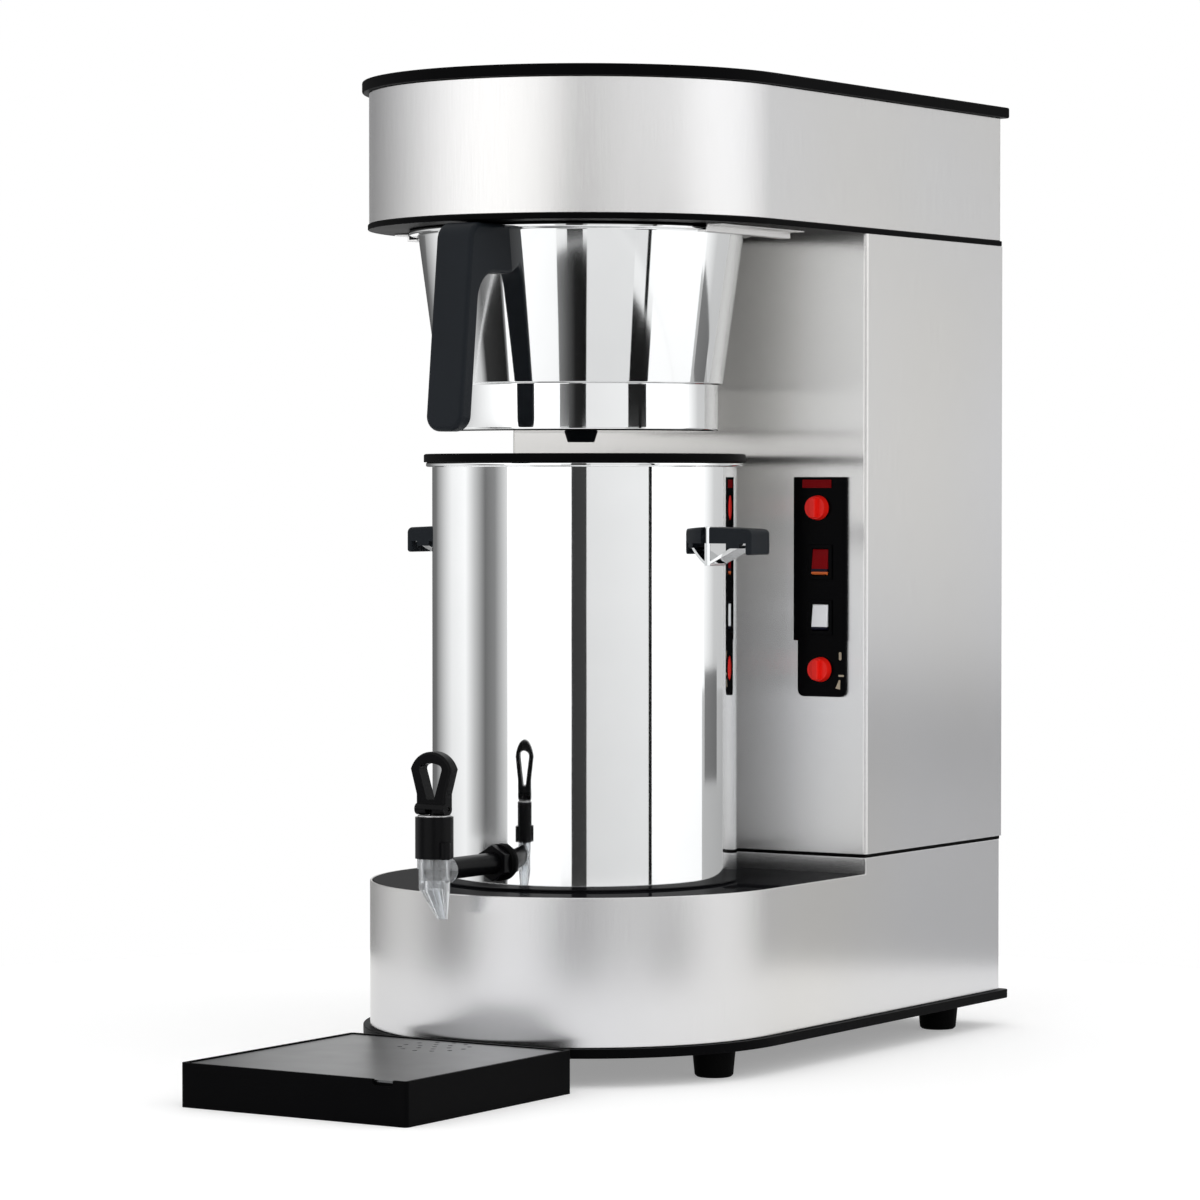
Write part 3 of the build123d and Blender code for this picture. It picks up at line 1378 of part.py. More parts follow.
with BuildPart() as seat_cup:
    with BuildSketch(at_y(tap_y)):
        with BuildLine():
            Polyline((0, seat_z), (cup_tip_radius, seat_z), (cup_radius, seat_z + cup_height / 2),
                     (cup_radius, cup_top), (stem_radius, cup_top),
                     (stem_radius, cup_top - stem_in_cup), (0, cup_top - stem_in_cup), (0, seat_z))
        make_face()
    revolve(axis=upright(0, tap_y))
seat_cup.part.label = "seat_cup"
export_step(seat_cup.part, "parts/seat_cup.step")

spring_low = stem_collar_z + stem_collar_height + spring_wire
spring_high = bonnet_top - bonnet_cap - spring_wire
with BuildPart() as tap_spring:
    with BuildLine():
        spiral = Helix(pitch=(spring_high - spring_low) / spring_turns, height=spring_high - spring_low,
                       radius=spring_radius, center=(0, tap_y, spring_low))
    with BuildSketch(Plane(origin=spiral @ 0, z_dir=spiral % 0)):
        Circle(spring_wire)
    sweep(path=spiral)
tap_spring.part.label = "tap_spring"
export_step(tap_spring.part, "parts/tap_spring.step")

cam_radius = pin_height - cam_gap
with BuildPart() as tap_lever:
    with BuildSketch(at_y(tap_y + lever_thickness / 2)) as lever_face:
        with BuildLine():
            Polyline((-lever_neck_half, pin_z), (-lever_neck_half, lever_neck_z),
                     (-lever_top_half, lever_top - lever_crown))
            ThreePointArc((-lever_top_half, lever_top - lever_crown), (0, lever_top),
                          (lever_top_half, lever_top - lever_crown))
            Polyline((lever_top_half, lever_top - lever_crown), (lever_neck_half, lever_neck_z),
                     (lever_neck_half, pin_z), (-lever_neck_half, pin_z))
        make_face()
        with BuildLine():
            Polyline((-loop_bottom_half, loop_bottom_z), (-loop_top_half, loop_top_z))
            ThreePointArc((-loop_top_half, loop_top_z), (0, loop_top_z + loop_crown),
                          (loop_top_half, loop_top_z))
            Polyline((loop_top_half, loop_top_z), (loop_bottom_half, loop_bottom_z),
                     (-loop_bottom_half, loop_bottom_z))
        make_face(mode=Mode.SUBTRACT)
    extrude(amount=lever_thickness)
    fillet(tap_lever.edges().filter_by(Axis.Y).group_by(Axis.Z)[-1], lever_crown_round)
    fillet(tap_lever.faces().group_by(Axis.Y)[0][0].outer_wire().edges(), lever_edge)
    fillet(tap_lever.faces().group_by(Axis.Y)[-1][0].outer_wire().edges(), lever_edge)
    with BuildSketch(at_x(-lever_neck_half)):
        with Locations((tap_y - cam_offset, pin_z)):
            Circle(cam_radius)
        with Locations((tap_y, pin_z)):
            Circle(cam_radius)
    extrude(amount=2 * lever_neck_half)
    with BuildSketch(at_x(-stem_radius - lever_slot_gap)):
        with Locations((tap_y, pin_z)):
            Circle(lever_slot_round)
            Rectangle(2 * lever_slot_reach, lever_slot_reach, align=(Align.CENTER, Align.MAX))
    extrude(amount=2 * (stem_radius + lever_slot_gap), mode=Mode.SUBTRACT)
    with BuildSketch(at_x(-lever_neck_half)):
        with Locations((tap_y, pin_z)):
            Circle(pin_radius)
    extrude(amount=2 * lever_neck_half, mode=Mode.SUBTRACT)
tap_lever.part.label = "tap_lever"
export_step(tap_lever.part, "parts/tap_lever.step")

with BuildPart() as lever_pin:
    with BuildSketch(at_x(-pin_half_length)):
        with Locations((tap_y, pin_z)):
            Circle(pin_radius)
    extrude(amount=2 * pin_half_length)
lever_pin.part.label = "lever_pin"
export_step(lever_pin.part, "parts/lever_pin.step")

# ================================================================ drip tray
tray_plate_top = tray_height - tray_plate_sink
tray_plate_low = tray_plate_top - tray_plate_thickness
with BuildPart() as tray_pan:
    with BuildSketch(at_z(0)) as tray_plan:
        add(block(-tray_half_width, tray_half_width, tray_front_y, tray_rear_y))
        fillet(tray_plan.vertices(), tray_corner)
    extrude(amount=tray_height)
    with BuildSketch(at_z(tray_floor)):
        add(block(-tray_half_width + tray_wall + tray_ledge, tray_half_width - tray_wall - tray_ledge,
                  tray_front_y + tray_wall + tray_ledge, tray_rear_y - tray_wall - tray_ledge))
    extrude(amount=tray_height, mode=Mode.SUBTRACT)
    with BuildSketch(at_z(tray_plate_low)):
        add(block(-tray_half_width + tray_wall, tray_half_width - tray_wall,
                  tray_front_y + tray_wall, tray_rear_y - tray_wall))
    extrude(amount=tray_height, mode=Mode.SUBTRACT)
    with BuildSketch(at_y(tray_front_y + tray_wall)) as notch:
        with Locations((notch_x, tray_height)):
            Rectangle(notch_width, 2 * notch_depth)
        fillet(notch.vertices().group_by(Axis.Y)[0], notch_depth / 2)
    extrude(amount=tray_wall, mode=Mode.SUBTRACT)
tray_pan.part.label = "tray_pan"
export_step(tray_pan.part, "parts/tray_pan.step")

with BuildPart() as tray_plate:
    with BuildSketch(at_z(tray_plate_low)):
        add(block(-tray_half_width + tray_wall + tray_plate_gap,
                  tray_half_width - tray_wall - tray_plate_gap,
                  tray_front_y + tray_wall + tray_plate_gap, tray_rear_y - tray_wall - tray_plate_gap))
        add(hole_rings(0, tap_y, drain_hole_radius, drain_ring_pitch, drain_ring_count),
            mode=Mode.SUBTRACT)
    extrude(amount=tray_plate_thickness)
tray_plate.part.label = "tray_plate"
export_step(tray_plate.part, "parts/tray_plate.step")

# ================================================================ control panel
panel_front_y = column_front_y - panel_thickness
rocker_half = rocker_length / 2
bezel_half_width = rocker_width / 2 + rocker_gap + bezel_wall
bezel_half_length = rocker_half + rocker_gap + bezel_wall
knob_places = [(timer_x, timer_z), (thermostat_x, thermostat_z)]
switch_places = [(switch_x, power_z), (switch_x, warmer_z)]
with BuildPart() as panel_plate:
    with BuildSketch(at_y(column_front_y)) as panel_face:
        add(block(panel_left, panel_right, panel_step_z, panel_top))
        add(block(panel_low_left, panel_low_right, panel_bottom, panel_step_z))
        fillet(panel_face.vertices().group_by(Axis.Y)[0], panel_round)
        with Locations(*knob_places):
            Circle(knob_shaft_radius + fit_gap, mode=Mode.SUBTRACT)
        with Locations(*switch_places):
            Rectangle(2 * (bezel_half_width + bezel_gap), 2 * (bezel_half_length + bezel_gap),
                      mode=Mode.SUBTRACT)
    extrude(amount=panel_thickness)
panel_plate.part.label = "panel_plate"
export_step(panel_plate.part, "parts/panel_plate.step")

with BuildPart() as indicator_lens:
    with BuildSketch(at_y(panel_front_y)):
        add(block(lens_left, lens_right, lens_low, lens_high))
    extrude(amount=lens_thickness)
indicator_lens.part.label = "indicator_lens"
export_step(indicator_lens.part, "parts/indicator_lens.step")

for (x, z), name in zip(knob_places, ("timer", "thermostat")):
    with BuildPart() as unit:
        with BuildSketch(at_y(column_front_y + unit_depth)):
            with Locations((x, z)):
                Rectangle(2 * unit_half_width, 2 * unit_half_height)
        extrude(amount=unit_depth)
        with BuildSketch(at_y(knob_shaft_end + fit_gap)):
            with Locations((x, z)):
                Circle(knob_shaft_radius + knob_shaft_fit)
        extrude(amount=knob_shaft_end + fit_gap - column_front_y, mode=Mode.SUBTRACT)
    unit.part.label = f"{name}_unit"
    export_step(unit.part, f"parts/{name}_unit.step")

    knob_rear_y = panel_front_y - knob_gap
    with BuildPart() as knob:
        with BuildSketch(at_y(knob_rear_y)):
            with Locations((x, z)):
                Circle(knob_radius)
        extrude(amount=knob_height, taper=knob_taper)
        with BuildSketch(at_y(knob_rear_y - knob_height)) as rib:
            with Locations((x, z)):
                Circle(knob_face_radius - knob_edge)
                Rectangle(2 * knob_grip_half, 2 * knob_radius, mode=Mode.INTERSECT)
        extrude(amount=knob_grip_height)
        fillet(knob.edges().group_by(Axis.Y)[0], knob_edge)
        with BuildSketch(at_y(knob_shaft_end)):
            with Locations((x, z)):
                Circle(knob_shaft_radius)
        extrude(amount=knob_shaft_end - knob_rear_y)
    knob.part.label = f"{name}_knob"
    export_step(knob.part, f"parts/{name}_knob.step")

bezel_front_y = panel_front_y - bezel_lip_height
bezel_rear_y = panel_front_y + bezel_depth
with BuildPart() as switch_frames:
    with BuildSketch(at_y(panel_front_y)):
        with Locations(*switch_places):
            Rectangle(2 * (bezel_half_width + bezel_lip), 2 * (bezel_half_length + bezel_lip))
    extrude(amount=bezel_lip_height)
    with BuildSketch(at_y(bezel_rear_y)):
        with Locations(*switch_places):
            Rectangle(2 * bezel_half_width, 2 * bezel_half_length)
    extrude(amount=bezel_depth)
    with BuildSketch(at_y(bezel_rear_y - bezel_wall)):
        with Locations(*switch_places):
            Rectangle(rocker_width + 2 * rocker_gap, rocker_length + 2 * rocker_gap)
    extrude(amount=bezel_depth + bezel_lip_height, mode=Mode.SUBTRACT)
switch_frames.part.label = "switch_frames"
export_step(switch_frames.part, "parts/switch_frames.step")

rocker_face_y = bezel_front_y - rocker_proud
rocker_pivot_y = rocker_face_y + rocker_depth
for z, name in ((power_z, "power"), (warmer_z, "warmer")):
    with BuildPart() as rocker:
        with BuildSketch(at_x(switch_x - rocker_width / 2)):
            with Locations((rocker_pivot_y, z)):
                Circle(rocker_half)
            add(block(rocker_face_y, rocker_back_y, z - rocker_half, z + rocker_half),
                mode=Mode.INTERSECT)
        extrude(amount=rocker_width)
    rocker_at_rest = rocker.part.rotate(Axis((0, rocker_pivot_y, z), (1, 0, 0)), -rocker_tilt)
    rocker_at_rest.label = f"{name}_rocker"
    export_step(rocker_at_rest, f"parts/{name}_rocker.step")
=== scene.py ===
# %% [markdown]
# # A bulk coffee brewer
# A steel column carries an overhanging head. Under the head a polished filter basket slides on two
# rails, and below it stands a round urn with a lever tap over a drip tray.
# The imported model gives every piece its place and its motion. This script gives them their looks: a
# room to reflect, a finish for each material, rounds on the edges, and turned pieces without facets.

# %% Load the frame
import json
from math import cos, pi, radians, sin, sqrt, tan

import bmesh
import bpy
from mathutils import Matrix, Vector


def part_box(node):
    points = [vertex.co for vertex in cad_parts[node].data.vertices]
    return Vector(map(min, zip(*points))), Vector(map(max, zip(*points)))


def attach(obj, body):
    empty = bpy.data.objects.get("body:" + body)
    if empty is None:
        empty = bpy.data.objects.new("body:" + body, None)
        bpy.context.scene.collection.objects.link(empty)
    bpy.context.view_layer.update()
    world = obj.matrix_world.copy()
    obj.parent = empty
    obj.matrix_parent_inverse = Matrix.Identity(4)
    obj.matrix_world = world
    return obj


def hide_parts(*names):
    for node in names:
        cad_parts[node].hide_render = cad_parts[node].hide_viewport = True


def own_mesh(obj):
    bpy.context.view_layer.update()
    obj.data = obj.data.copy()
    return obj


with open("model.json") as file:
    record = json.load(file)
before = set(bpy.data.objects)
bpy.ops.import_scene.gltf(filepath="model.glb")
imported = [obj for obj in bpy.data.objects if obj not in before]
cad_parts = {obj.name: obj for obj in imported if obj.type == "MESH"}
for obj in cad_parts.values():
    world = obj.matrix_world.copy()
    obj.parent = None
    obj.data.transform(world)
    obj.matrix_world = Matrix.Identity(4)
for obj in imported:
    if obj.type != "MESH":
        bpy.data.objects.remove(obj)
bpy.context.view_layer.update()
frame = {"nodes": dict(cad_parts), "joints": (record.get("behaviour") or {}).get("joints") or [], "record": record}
nodes = frame["nodes"]
record = frame["record"]
MM = 0.001

# %% [markdown]
# ## The camera
# The object is seen from its front right, with a long lens at half its height, so upright edges stay
# upright. A long lens far away keeps the half-round nose of the head from swelling.

# %% Place the camera
CAMERA_SENSOR = 36.0            # millimetres
CAMERA_PLACE = Vector((1.7628, -2.7518, 0.41685))
CAMERA_TURN = 32.451            # degrees to the left of straight back
CAMERA_TILT = 1.483             # degrees down
CAMERA_LENS = 135.94            # millimetres on that sensor
CAMERA_REACH = 50.0             # metres; everything stands nearer

lens = bpy.data.cameras.new("camera")
lens.lens = CAMERA_LENS
lens.sensor_width = CAMERA_SENSOR
lens.clip_end = CAMERA_REACH
camera = bpy.data.objects.new("camera", lens)
camera.location = CAMERA_PLACE
camera.rotation_euler = (radians(90 - CAMERA_TILT), 0, radians(CAMERA_TURN))
bpy.context.scene.collection.objects.link(camera)
bpy.context.scene.camera = camera
bpy.context.scene.view_settings.view_transform = "Standard"
print("camera", round(CAMERA_PLACE.xy.length, 2), "m away,", CAMERA_TURN, "degrees to the right of the front")

# %% [markdown]
# ## Wiring shaders as expressions
# A material is a net of nodes. Written node by node it is hard to read, so two small classes do the
# wiring: a Board adds nodes to a tree, and a Wire is one output socket that can be used in sums, so
# that a roughness is written as the plain sum that it is.

# %% Wires
class Wire:
    """One output socket. Arithmetic with numbers and other wires adds Math nodes."""

    def __init__(self, board, socket):
        self.board = board
        self.socket = socket

    def math(self, operation, *others):
        inputs = dict(enumerate((self, *others)))
        return self.board.add("ShaderNodeMath", {"operation": operation}, inputs)

    def __add__(self, other):
        return self.math("ADD", other)

    def __sub__(self, other):
        return self.math("SUBTRACT", other)

    def __mul__(self, other):
        return self.math("MULTIPLY", other)

    def __truediv__(self, other):
        return self.math("DIVIDE", other)

    def __rsub__(self, other):
        return self.board.add("ShaderNodeMath", {"operation": "SUBTRACT"}, {0: other, 1: self})

    def __rtruediv__(self, other):
        return self.board.add("ShaderNodeMath", {"operation": "DIVIDE"}, {0: other, 1: self})

    __radd__ = __add__
    __rmul__ = __mul__


# %% [markdown]
# The Board has one method that adds any node, and a few short ones for what the finishes share:
# ramps, noise and bumps. Patterns read Object coordinates, so they keep their size in metres and stay
# on their piece when it moves.

# %% Boards
class Board:
    """A node tree that is being wired."""

    def __init__(self, tree):
        self.tree = tree

    def add(self, kind, settings=None, inputs=None, out=0):
        """Adds a node, sets its settings first and then its sockets, and returns one output."""
        node = self.tree.nodes.new(kind)
        for name, value in (settings or {}).items():
            if name == "stops":
                self.set_stops(node.color_ramp, value)
            else:
                setattr(node, name, value)
        for name, value in (inputs or {}).items():
            self.feed(node.inputs[name], value)
        return Wire(self, node.outputs[out])

    def feed(self, socket, value):
        if isinstance(value, Wire):
            self.tree.links.new(value.socket, socket)
        else:
            socket.default_value = value

    def set_stops(self, ramp, stops):
        while len(ramp.elements) < len(stops):
            ramp.elements.new(0.5)
        for element, (place, colour) in zip(ramp.elements, stops):
            element.position = place
            element.color = colour if isinstance(colour, tuple) else (colour, colour, colour, 1)

    def ramp(self, factor, stops):
        return self.add("ShaderNodeValToRGB", {"stops": stops}, {"Fac": factor})

    def curve(self, value, stops):
        """A ramp over a range of any size: stops are places on that range and what is shown there."""
        first, last = stops[0][0], stops[-1][0]
        return self.ramp((value - first) / (last - first),
                         [((place - first) / (last - first), shown) for place, shown in stops])

    def split(self, vector):
        """The three parts of a vector, each a wire."""
        node = self.add("ShaderNodeSeparateXYZ", {}, {"Vector": vector}).socket.node
        return [Wire(self, output) for output in node.outputs]

    def multiply(self, first, second):
        """Two colours multiplied."""
        return self.add("ShaderNodeMix", {"data_type": "RGBA", "blend_type": "MULTIPLY"},
                        {0: 1.0, 6: first, 7: second}, out=2)

    def place(self, stretch=(1, 1, 1)):
        """Object coordinates, stretched so that a pattern gets a size in each direction."""
        coordinates = self.add("ShaderNodeTexCoord", out="Object")
        return self.add("ShaderNodeMapping", {}, {"Vector": coordinates, "Scale": stretch})

    def noise(self, scale, detail=2.0, stretch=(1, 1, 1), roughness=0.5):
        """Cloudy noise from 0 to 1, with scale features per metre."""
        return self.add("ShaderNodeTexNoise", {}, {
            "Vector": self.place(stretch), "Scale": scale, "Detail": detail, "Roughness": roughness})

    def bump(self, height, distance, strength):
        """A normal that tilts with height; distance is the relief in metres."""
        return self.add("ShaderNodeBump", {}, {"Strength": strength, "Distance": distance, "Height": height})

    def end(self, shader):
        output = self.tree.nodes.new("ShaderNodeOutputMaterial")
        self.tree.links.new(shader.socket, output.inputs["Surface"])


# %% [markdown]
# A finish starts as an empty material and ends in one Principled shader, whose sockets are named as
# they read in Blender, with underscores for spaces.

# %% Start and finish a material
def new_material(name):
    """An empty material, its board and a function that ends it in a Principled shader."""
    material = bpy.data.materials.new(name)
    material.use_nodes = True
    material.node_tree.nodes.clear()
    board = Board(material.node_tree)

    def finish(**sockets):
        inputs = {key.replace("_", " "): value for key, value in sockets.items()}
        shader = board.add("ShaderNodeBsdfPrincipled", {}, inputs)
        board.end(shader)
        return material

    return board, finish


# %% [markdown]
# ## The studio
# Polished steel shows the room, not itself. A white backdrop stands behind the object. On the
# camera's side stand soft boxes, which give the bright fields on the urn, and black flags, which draw
# the crisp upright lines between them. All of them stand further out than the camera.
#
# The backdrop is the world's own colour. Light Path tells whose ray it is: the camera, metal and glass
# see plain white, and matt surfaces get a little more, as from the walls of a white room.

# %% Hang the white backdrop
ROOM_LIGHT = 1.05               # what the room sends to matt surfaces


def sees_white(board):
    """1 for rays from the camera and for those that metal or glass has bent."""
    camera_ray = board.add("ShaderNodeLightPath", out="Is Camera Ray")
    glossy_ray = board.add("ShaderNodeLightPath", out="Is Glossy Ray")
    clear_ray = board.add("ShaderNodeLightPath", out="Is Transmission Ray")
    return camera_ray.math("MAXIMUM", glossy_ray).math("MAXIMUM", clear_ray)


def build_world():
    """A world that is white to look at and lights matt surfaces with ROOM_LIGHT."""
    world = bpy.data.worlds.new("studio")
    world.use_nodes = True
    tree = world.node_tree
    tree.nodes.clear()
    board = Board(tree)
    white = sees_white(board)
    strength = white * (1 - ROOM_LIGHT) + ROOM_LIGHT
    backdrop = board.add("ShaderNodeBackground", {}, {"Color": (1, 1, 1, 1), "Strength": strength})
    output = tree.nodes.new("ShaderNodeOutputWorld")
    tree.links.new(backdrop.socket, output.inputs["Surface"])
    bpy.context.scene.world = world


build_world()
print("white room of strength", ROOM_LIGHT)

# %% [markdown]
# Each card is an upright strip of a large cylinder round the object. It has a lowest and a highest
# point, and stops: degrees to the camera's right, and the glow there. A cloth that is lit from one side
# glows unevenly, and so do these. Round mirrors squeeze the whole room into upright bands, so each band
# on the urn is one card. The basket's cone looks down and the base stands low, so both of them see the
# low cards, which is why most cards come in two heights.

# %% List the soft boxes and flags
CARD_DISTANCE = 4.2
CARD_STEP = 0.03                # each later card hangs this much nearer
CARD_TOP = 2.6
CARD_FOOT = -1.7
LOW_SEAM = -0.21                # below it the cards show in the base and the filter basket
FLAG_SEAM = -0.15               # the same for the flag on the left
SIDE_SEAM = 0.1                 # and for the cloth on the right
HEAD_SEAM = 0.5                 # above it the cards show in the head and the upper column
GLOW_TOP = 2.0                  # the glow at which a ramp is full
FOOT_FLAG = (0.48, 0.75)        # heights of the flags that show in the basket's foot
CARDS = {                       # lowest and highest point, then degrees to the camera's right and the glow
    "side_cloth_left": (CARD_FOOT, HEAD_SEAM, [
        (-172, 0.15), (-150, 0.2), (-135, 0.6), (-118, 1.1), (-100, 1.25)]),
    "side_cloth_left_high": (HEAD_SEAM, CARD_TOP, [
        (-172, 0.1), (-150, 0.15), (-135, 0.3), (-118, 0.5), (-100, 0.8)]),
    "soft_flag": (FLAG_SEAM, HEAD_SEAM, [(-100, 1.25), (-90, 0.7), (-79, 0.2), (-70, 0.3), (-59, 0.9)]),
    "soft_side_high": (HEAD_SEAM, CARD_TOP, [(-100, 0.8), (-80, 1.2), (-59, 1.6)]),
    "soft_flag_low": (CARD_FOOT, FLAG_SEAM, [
        (-100, 1.25), (-86, 0.8), (-80, 0.05), (-61, 0.02), (-59, 0.5)]),
    "soft_box_left": (LOW_SEAM, CARD_TOP, [(-59, 1.6), (-9.5, 1.45)]),
    "soft_box_left_low": (CARD_FOOT, LOW_SEAM, [(-59, 1.6), (-17, 1.45)]),
    "front_cloth": (LOW_SEAM, CARD_TOP, [(1.5, 0.95), (48.2, 1.05)]),
    "front_cloth_low": (CARD_FOOT, LOW_SEAM, [(4.3, 1.1), (39, 1.1)]),
    "soft_box_right": (LOW_SEAM, CARD_TOP, [(50.8, 1.5), (100, 1.4)]),
    "soft_box_right_low": (CARD_FOOT, LOW_SEAM, [(55, 1.5), (98, 1.4)]),
    "side_cloth": (SIDE_SEAM, CARD_TOP, [(100, 1.2), (113, 0.7), (140, 0.62)]),
    "side_cloth_low": (CARD_FOOT, SIDE_SEAM, [(98, 0.65), (125, 0.55), (140, 0.55)]),
    "basket_flag": (-0.04, 0.13, [(101, 0.25), (117, 0.2)]),
    "camera_flag": (LOW_SEAM, CARD_TOP, [(-9.5, 0.05), (1.5, 0.06)]),
    "camera_flag_low": (CARD_FOOT, LOW_SEAM, [(-17, 0.3), (-10, 0.12), (-4, 0.02), (4.3, 0.01)]),
    "camera_flag_foot": (*FOOT_FLAG, [(-17, 0.3), (-10, 0.12), (-4, 0.02), (4.3, 0.01)]),
    "thin_flag": (LOW_SEAM, CARD_TOP, [(48.2, 0.01), (50.8, 0.01)]),
    "thin_flag_low": (CARD_FOOT, LOW_SEAM, [(39, 0.01), (55, 0.01)]),
    "thin_flag_foot": (*FOOT_FLAG, [(39, 0.01), (55, 0.01)]),
}
HEIGHT_FALL = [(-0.8, 0.66), (0.8, 1.0)]        # glow by height: it falls off near the floor
OWN_FALL = {"side_cloth": [(-0.3, 0.75), (0.45, 1.0), (0.85, 0.85)]}
print(len(CARDS), "cards from", CARD_FOOT, "to", CARD_TOP, "m")

# %% [markdown]
# A card's light is an emission whose colour is a ramp over the angle round the object, times a second
# ramp over the height. The angle comes from the card's own coordinates by an arc tangent.

# %% Light a card
def card_material(name, stops, fall_stops):
    """An emission with the stops' glow round the object and the fall's over the height."""
    material = bpy.data.materials.new(name)
    material.use_nodes = True
    material.node_tree.nodes.clear()
    board = Board(material.node_tree)
    x, y, z = board.split(board.add("ShaderNodeTexCoord", out="Object"))
    away = radians(CAMERA_TURN - 90)
    ahead = x * cos(away) + y * sin(away)
    right = y * cos(away) - x * sin(away)
    angle = right.math("ARCTAN2", ahead) * (180 / pi)
    glow = board.curve(angle, [(place, value / GLOW_TOP) for place, value in stops])
    fall = board.curve(z, fall_stops)
    light = board.add("ShaderNodeEmission", {}, {"Color": glow, "Strength": fall * GLOW_TOP})
    board.end(light)
    return material


# %% [markdown]
# The strips hang further out than the camera and hide from it. Each later one hangs a little nearer,
# so where two overlap, the later one is the one that shows in the steel.

# %% Stand the cards
def build_card(name, low, high, stops, reach):
    """An upright strip at the given reach, one face to each degree, which the camera doesn't see."""
    first, last = stops[0][0], stops[-1][0]
    steps = max(2, round(last - first))
    shape = bmesh.new()
    rows = []
    for i in range(steps + 1):
        turn = radians(CAMERA_TURN - 90 + first + (last - first) * i / steps)
        rows.append([shape.verts.new((reach * cos(turn), reach * sin(turn), z)) for z in (low, high)])
    for (a, b), (c, d) in zip(rows, rows[1:]):
        shape.faces.new((a, b, d, c))
    mesh = bpy.data.meshes.new(name)
    shape.to_mesh(mesh)
    shape.free()
    mesh.materials.append(card_material(name, stops, OWN_FALL.get(name, HEIGHT_FALL)))
    card = bpy.data.objects.new(name, mesh)
    card.visible_camera = False
    bpy.context.scene.collection.objects.link(card)


for place, (name, (low, high, stops)) in enumerate(CARDS.items()):
    build_card(name, low, high, stops, CARD_DISTANCE - place * CARD_STEP)
print(len(CARDS), "cards stand round the object")

# %% [markdown]
# The object stands on a white table that keeps a soft shadow under it. Its paint is a pale grey, and
# the rest of its white is a glow that only the camera, metal and glass see. So the table looks as white
# as the backdrop and throws no more light on the object than a real one.

# %% Lay the floor
FLOOR_RADIUS = 0.8
FLOOR_STEPS = 96
FLOOR_PAINT = 0.78
FLOOR_WHITE = 0.3               # what the white backdrop adds to the floor's own paint


def build_floor():
    """A disc under the object, with paint and glow added."""
    mesh = bpy.data.meshes.new("floor")
    shape = bmesh.new()
    bmesh.ops.create_circle(shape, cap_ends=True, radius=FLOOR_RADIUS, segments=FLOOR_STEPS)
    shape.to_mesh(mesh)
    shape.free()
    floor = bpy.data.objects.new("floor", mesh)
    bpy.context.scene.collection.objects.link(floor)
    material = bpy.data.materials.new("floor_white")
    material.use_nodes = True
    material.node_tree.nodes.clear()
    board = Board(material.node_tree)
    paint = board.add("ShaderNodeBsdfDiffuse", {}, {"Color": (FLOOR_PAINT, FLOOR_PAINT, FLOOR_PAINT, 1)})
    glow = board.add("ShaderNodeEmission", {}, {"Strength": sees_white(board) * FLOOR_WHITE})
    both = board.add("ShaderNodeAddShader", {}, {0: paint, 1: glow})
    board.end(both)
    mesh.materials.append(material)


build_floor()
print("floor", 2 * FLOOR_RADIUS, "m across")

# %% [markdown]
# ## Finishes
# Steel comes in four finishes here: satin on the housing, a satin on the drip tray that is darkened with
# painted shade, mirror on the urn and the basket, and plain on what is hidden.
#
# The housing's sheet is brushed upwards. The brush leaves fine lines, so a noise that is stretched
# along Z feeds the colour and the roughness, and a high Anisotropic spreads reflections across the
# lines. Rolled sheet is never quite flat either: a broad, faint bump bends what it reflects.

# %% Satin steel
GRAIN = 0.012                   # how much a pattern is drawn out along the grain


def satin_steel():
    board, finish = new_material("satin_steel")
    lines = board.noise(2600, 3, stretch=(1, 1, GRAIN), roughness=0.7)
    clouds = board.noise(6, 2)
    tints = board.noise(3, 1)
    grain = board.ramp(lines, [(0.3, (0.695, 0.692, 0.69, 1)), (0.7, (0.745, 0.742, 0.742, 1))])
    tint = board.ramp(tints, [(0.35, (1.0, 0.99, 0.965, 1)), (0.65, (0.975, 0.98, 1.0, 1))])
    return finish(Base_Color=board.multiply(grain, tint), Metallic=1.0,
                  Roughness=0.22 + lines * 0.04 + clouds * 0.03,
                  Anisotropic=0.95, Normal=board.bump(board.noise(5, 1), 0.0008, 0.2))


# %% [markdown]
# The drip tray's plate is brushed from side to side. Its colour is darkened far below steel's, as painted
# shade and painted reflection of the dark urn and head above it. Cups and wiping wear it, so a finer
# noise makes its roughness patchy.

# %% Tray steel
def tray_steel_painted_shade():
    board, finish = new_material("tray_steel_painted_shade")
    lines = board.noise(1800, 3, stretch=(0.015, 1, 1), roughness=0.7)
    wear = board.noise(40, 4)
    # painted shade: this tone is far darker than steel, standing for the dark that the tray reflects from above
    tone = board.ramp(lines, [(0.3, (0.09, 0.092, 0.095, 1)), (0.7, (0.13, 0.133, 0.138, 1))])
    return finish(Base_Color=tone, Metallic=1.0, Roughness=0.26 + lines * 0.05 + wear * 0.06,
                  Normal=board.bump(board.noise(9, 1), 0.0006, 0.25))


# %% [markdown]
# The urn and the basket are polished. A mirror has hardly any pattern of its own: a low roughness with
# faint smears and upright scratches, and a bump so shallow that only the edges of reflections waver.

# %% Mirror steel
def mirror_steel():
    board, finish = new_material("mirror_steel")
    smear = board.noise(25, 3)
    scratch = board.noise(1500, 2, stretch=(1, 1, 0.02))
    tone = board.ramp(smear, [(0.3, (0.85, 0.86, 0.865, 1)), (0.7, (0.87, 0.88, 0.885, 1))])
    return finish(Base_Color=tone, Metallic=1.0,
                  Roughness=0.02 + smear * 0.03 + scratch * 0.012,
                  Normal=board.bump(board.noise(14, 1), 0.0004, 0.12))


# %% [markdown]
# Frames, tank and screws are mill steel, and the water inlet is brass. Cast and rolled metal is
# mottled, so one noise drives both the colour and the roughness.

# %% Plain steel and brass
def plain_steel():
    board, finish = new_material("plain_steel")
    mottle = board.noise(60, 4)
    tone = board.ramp(mottle, [(0.3, 0.5), (0.7, 0.62)])
    return finish(Base_Color=tone, Metallic=1.0, Roughness=0.28 + mottle * 0.15)


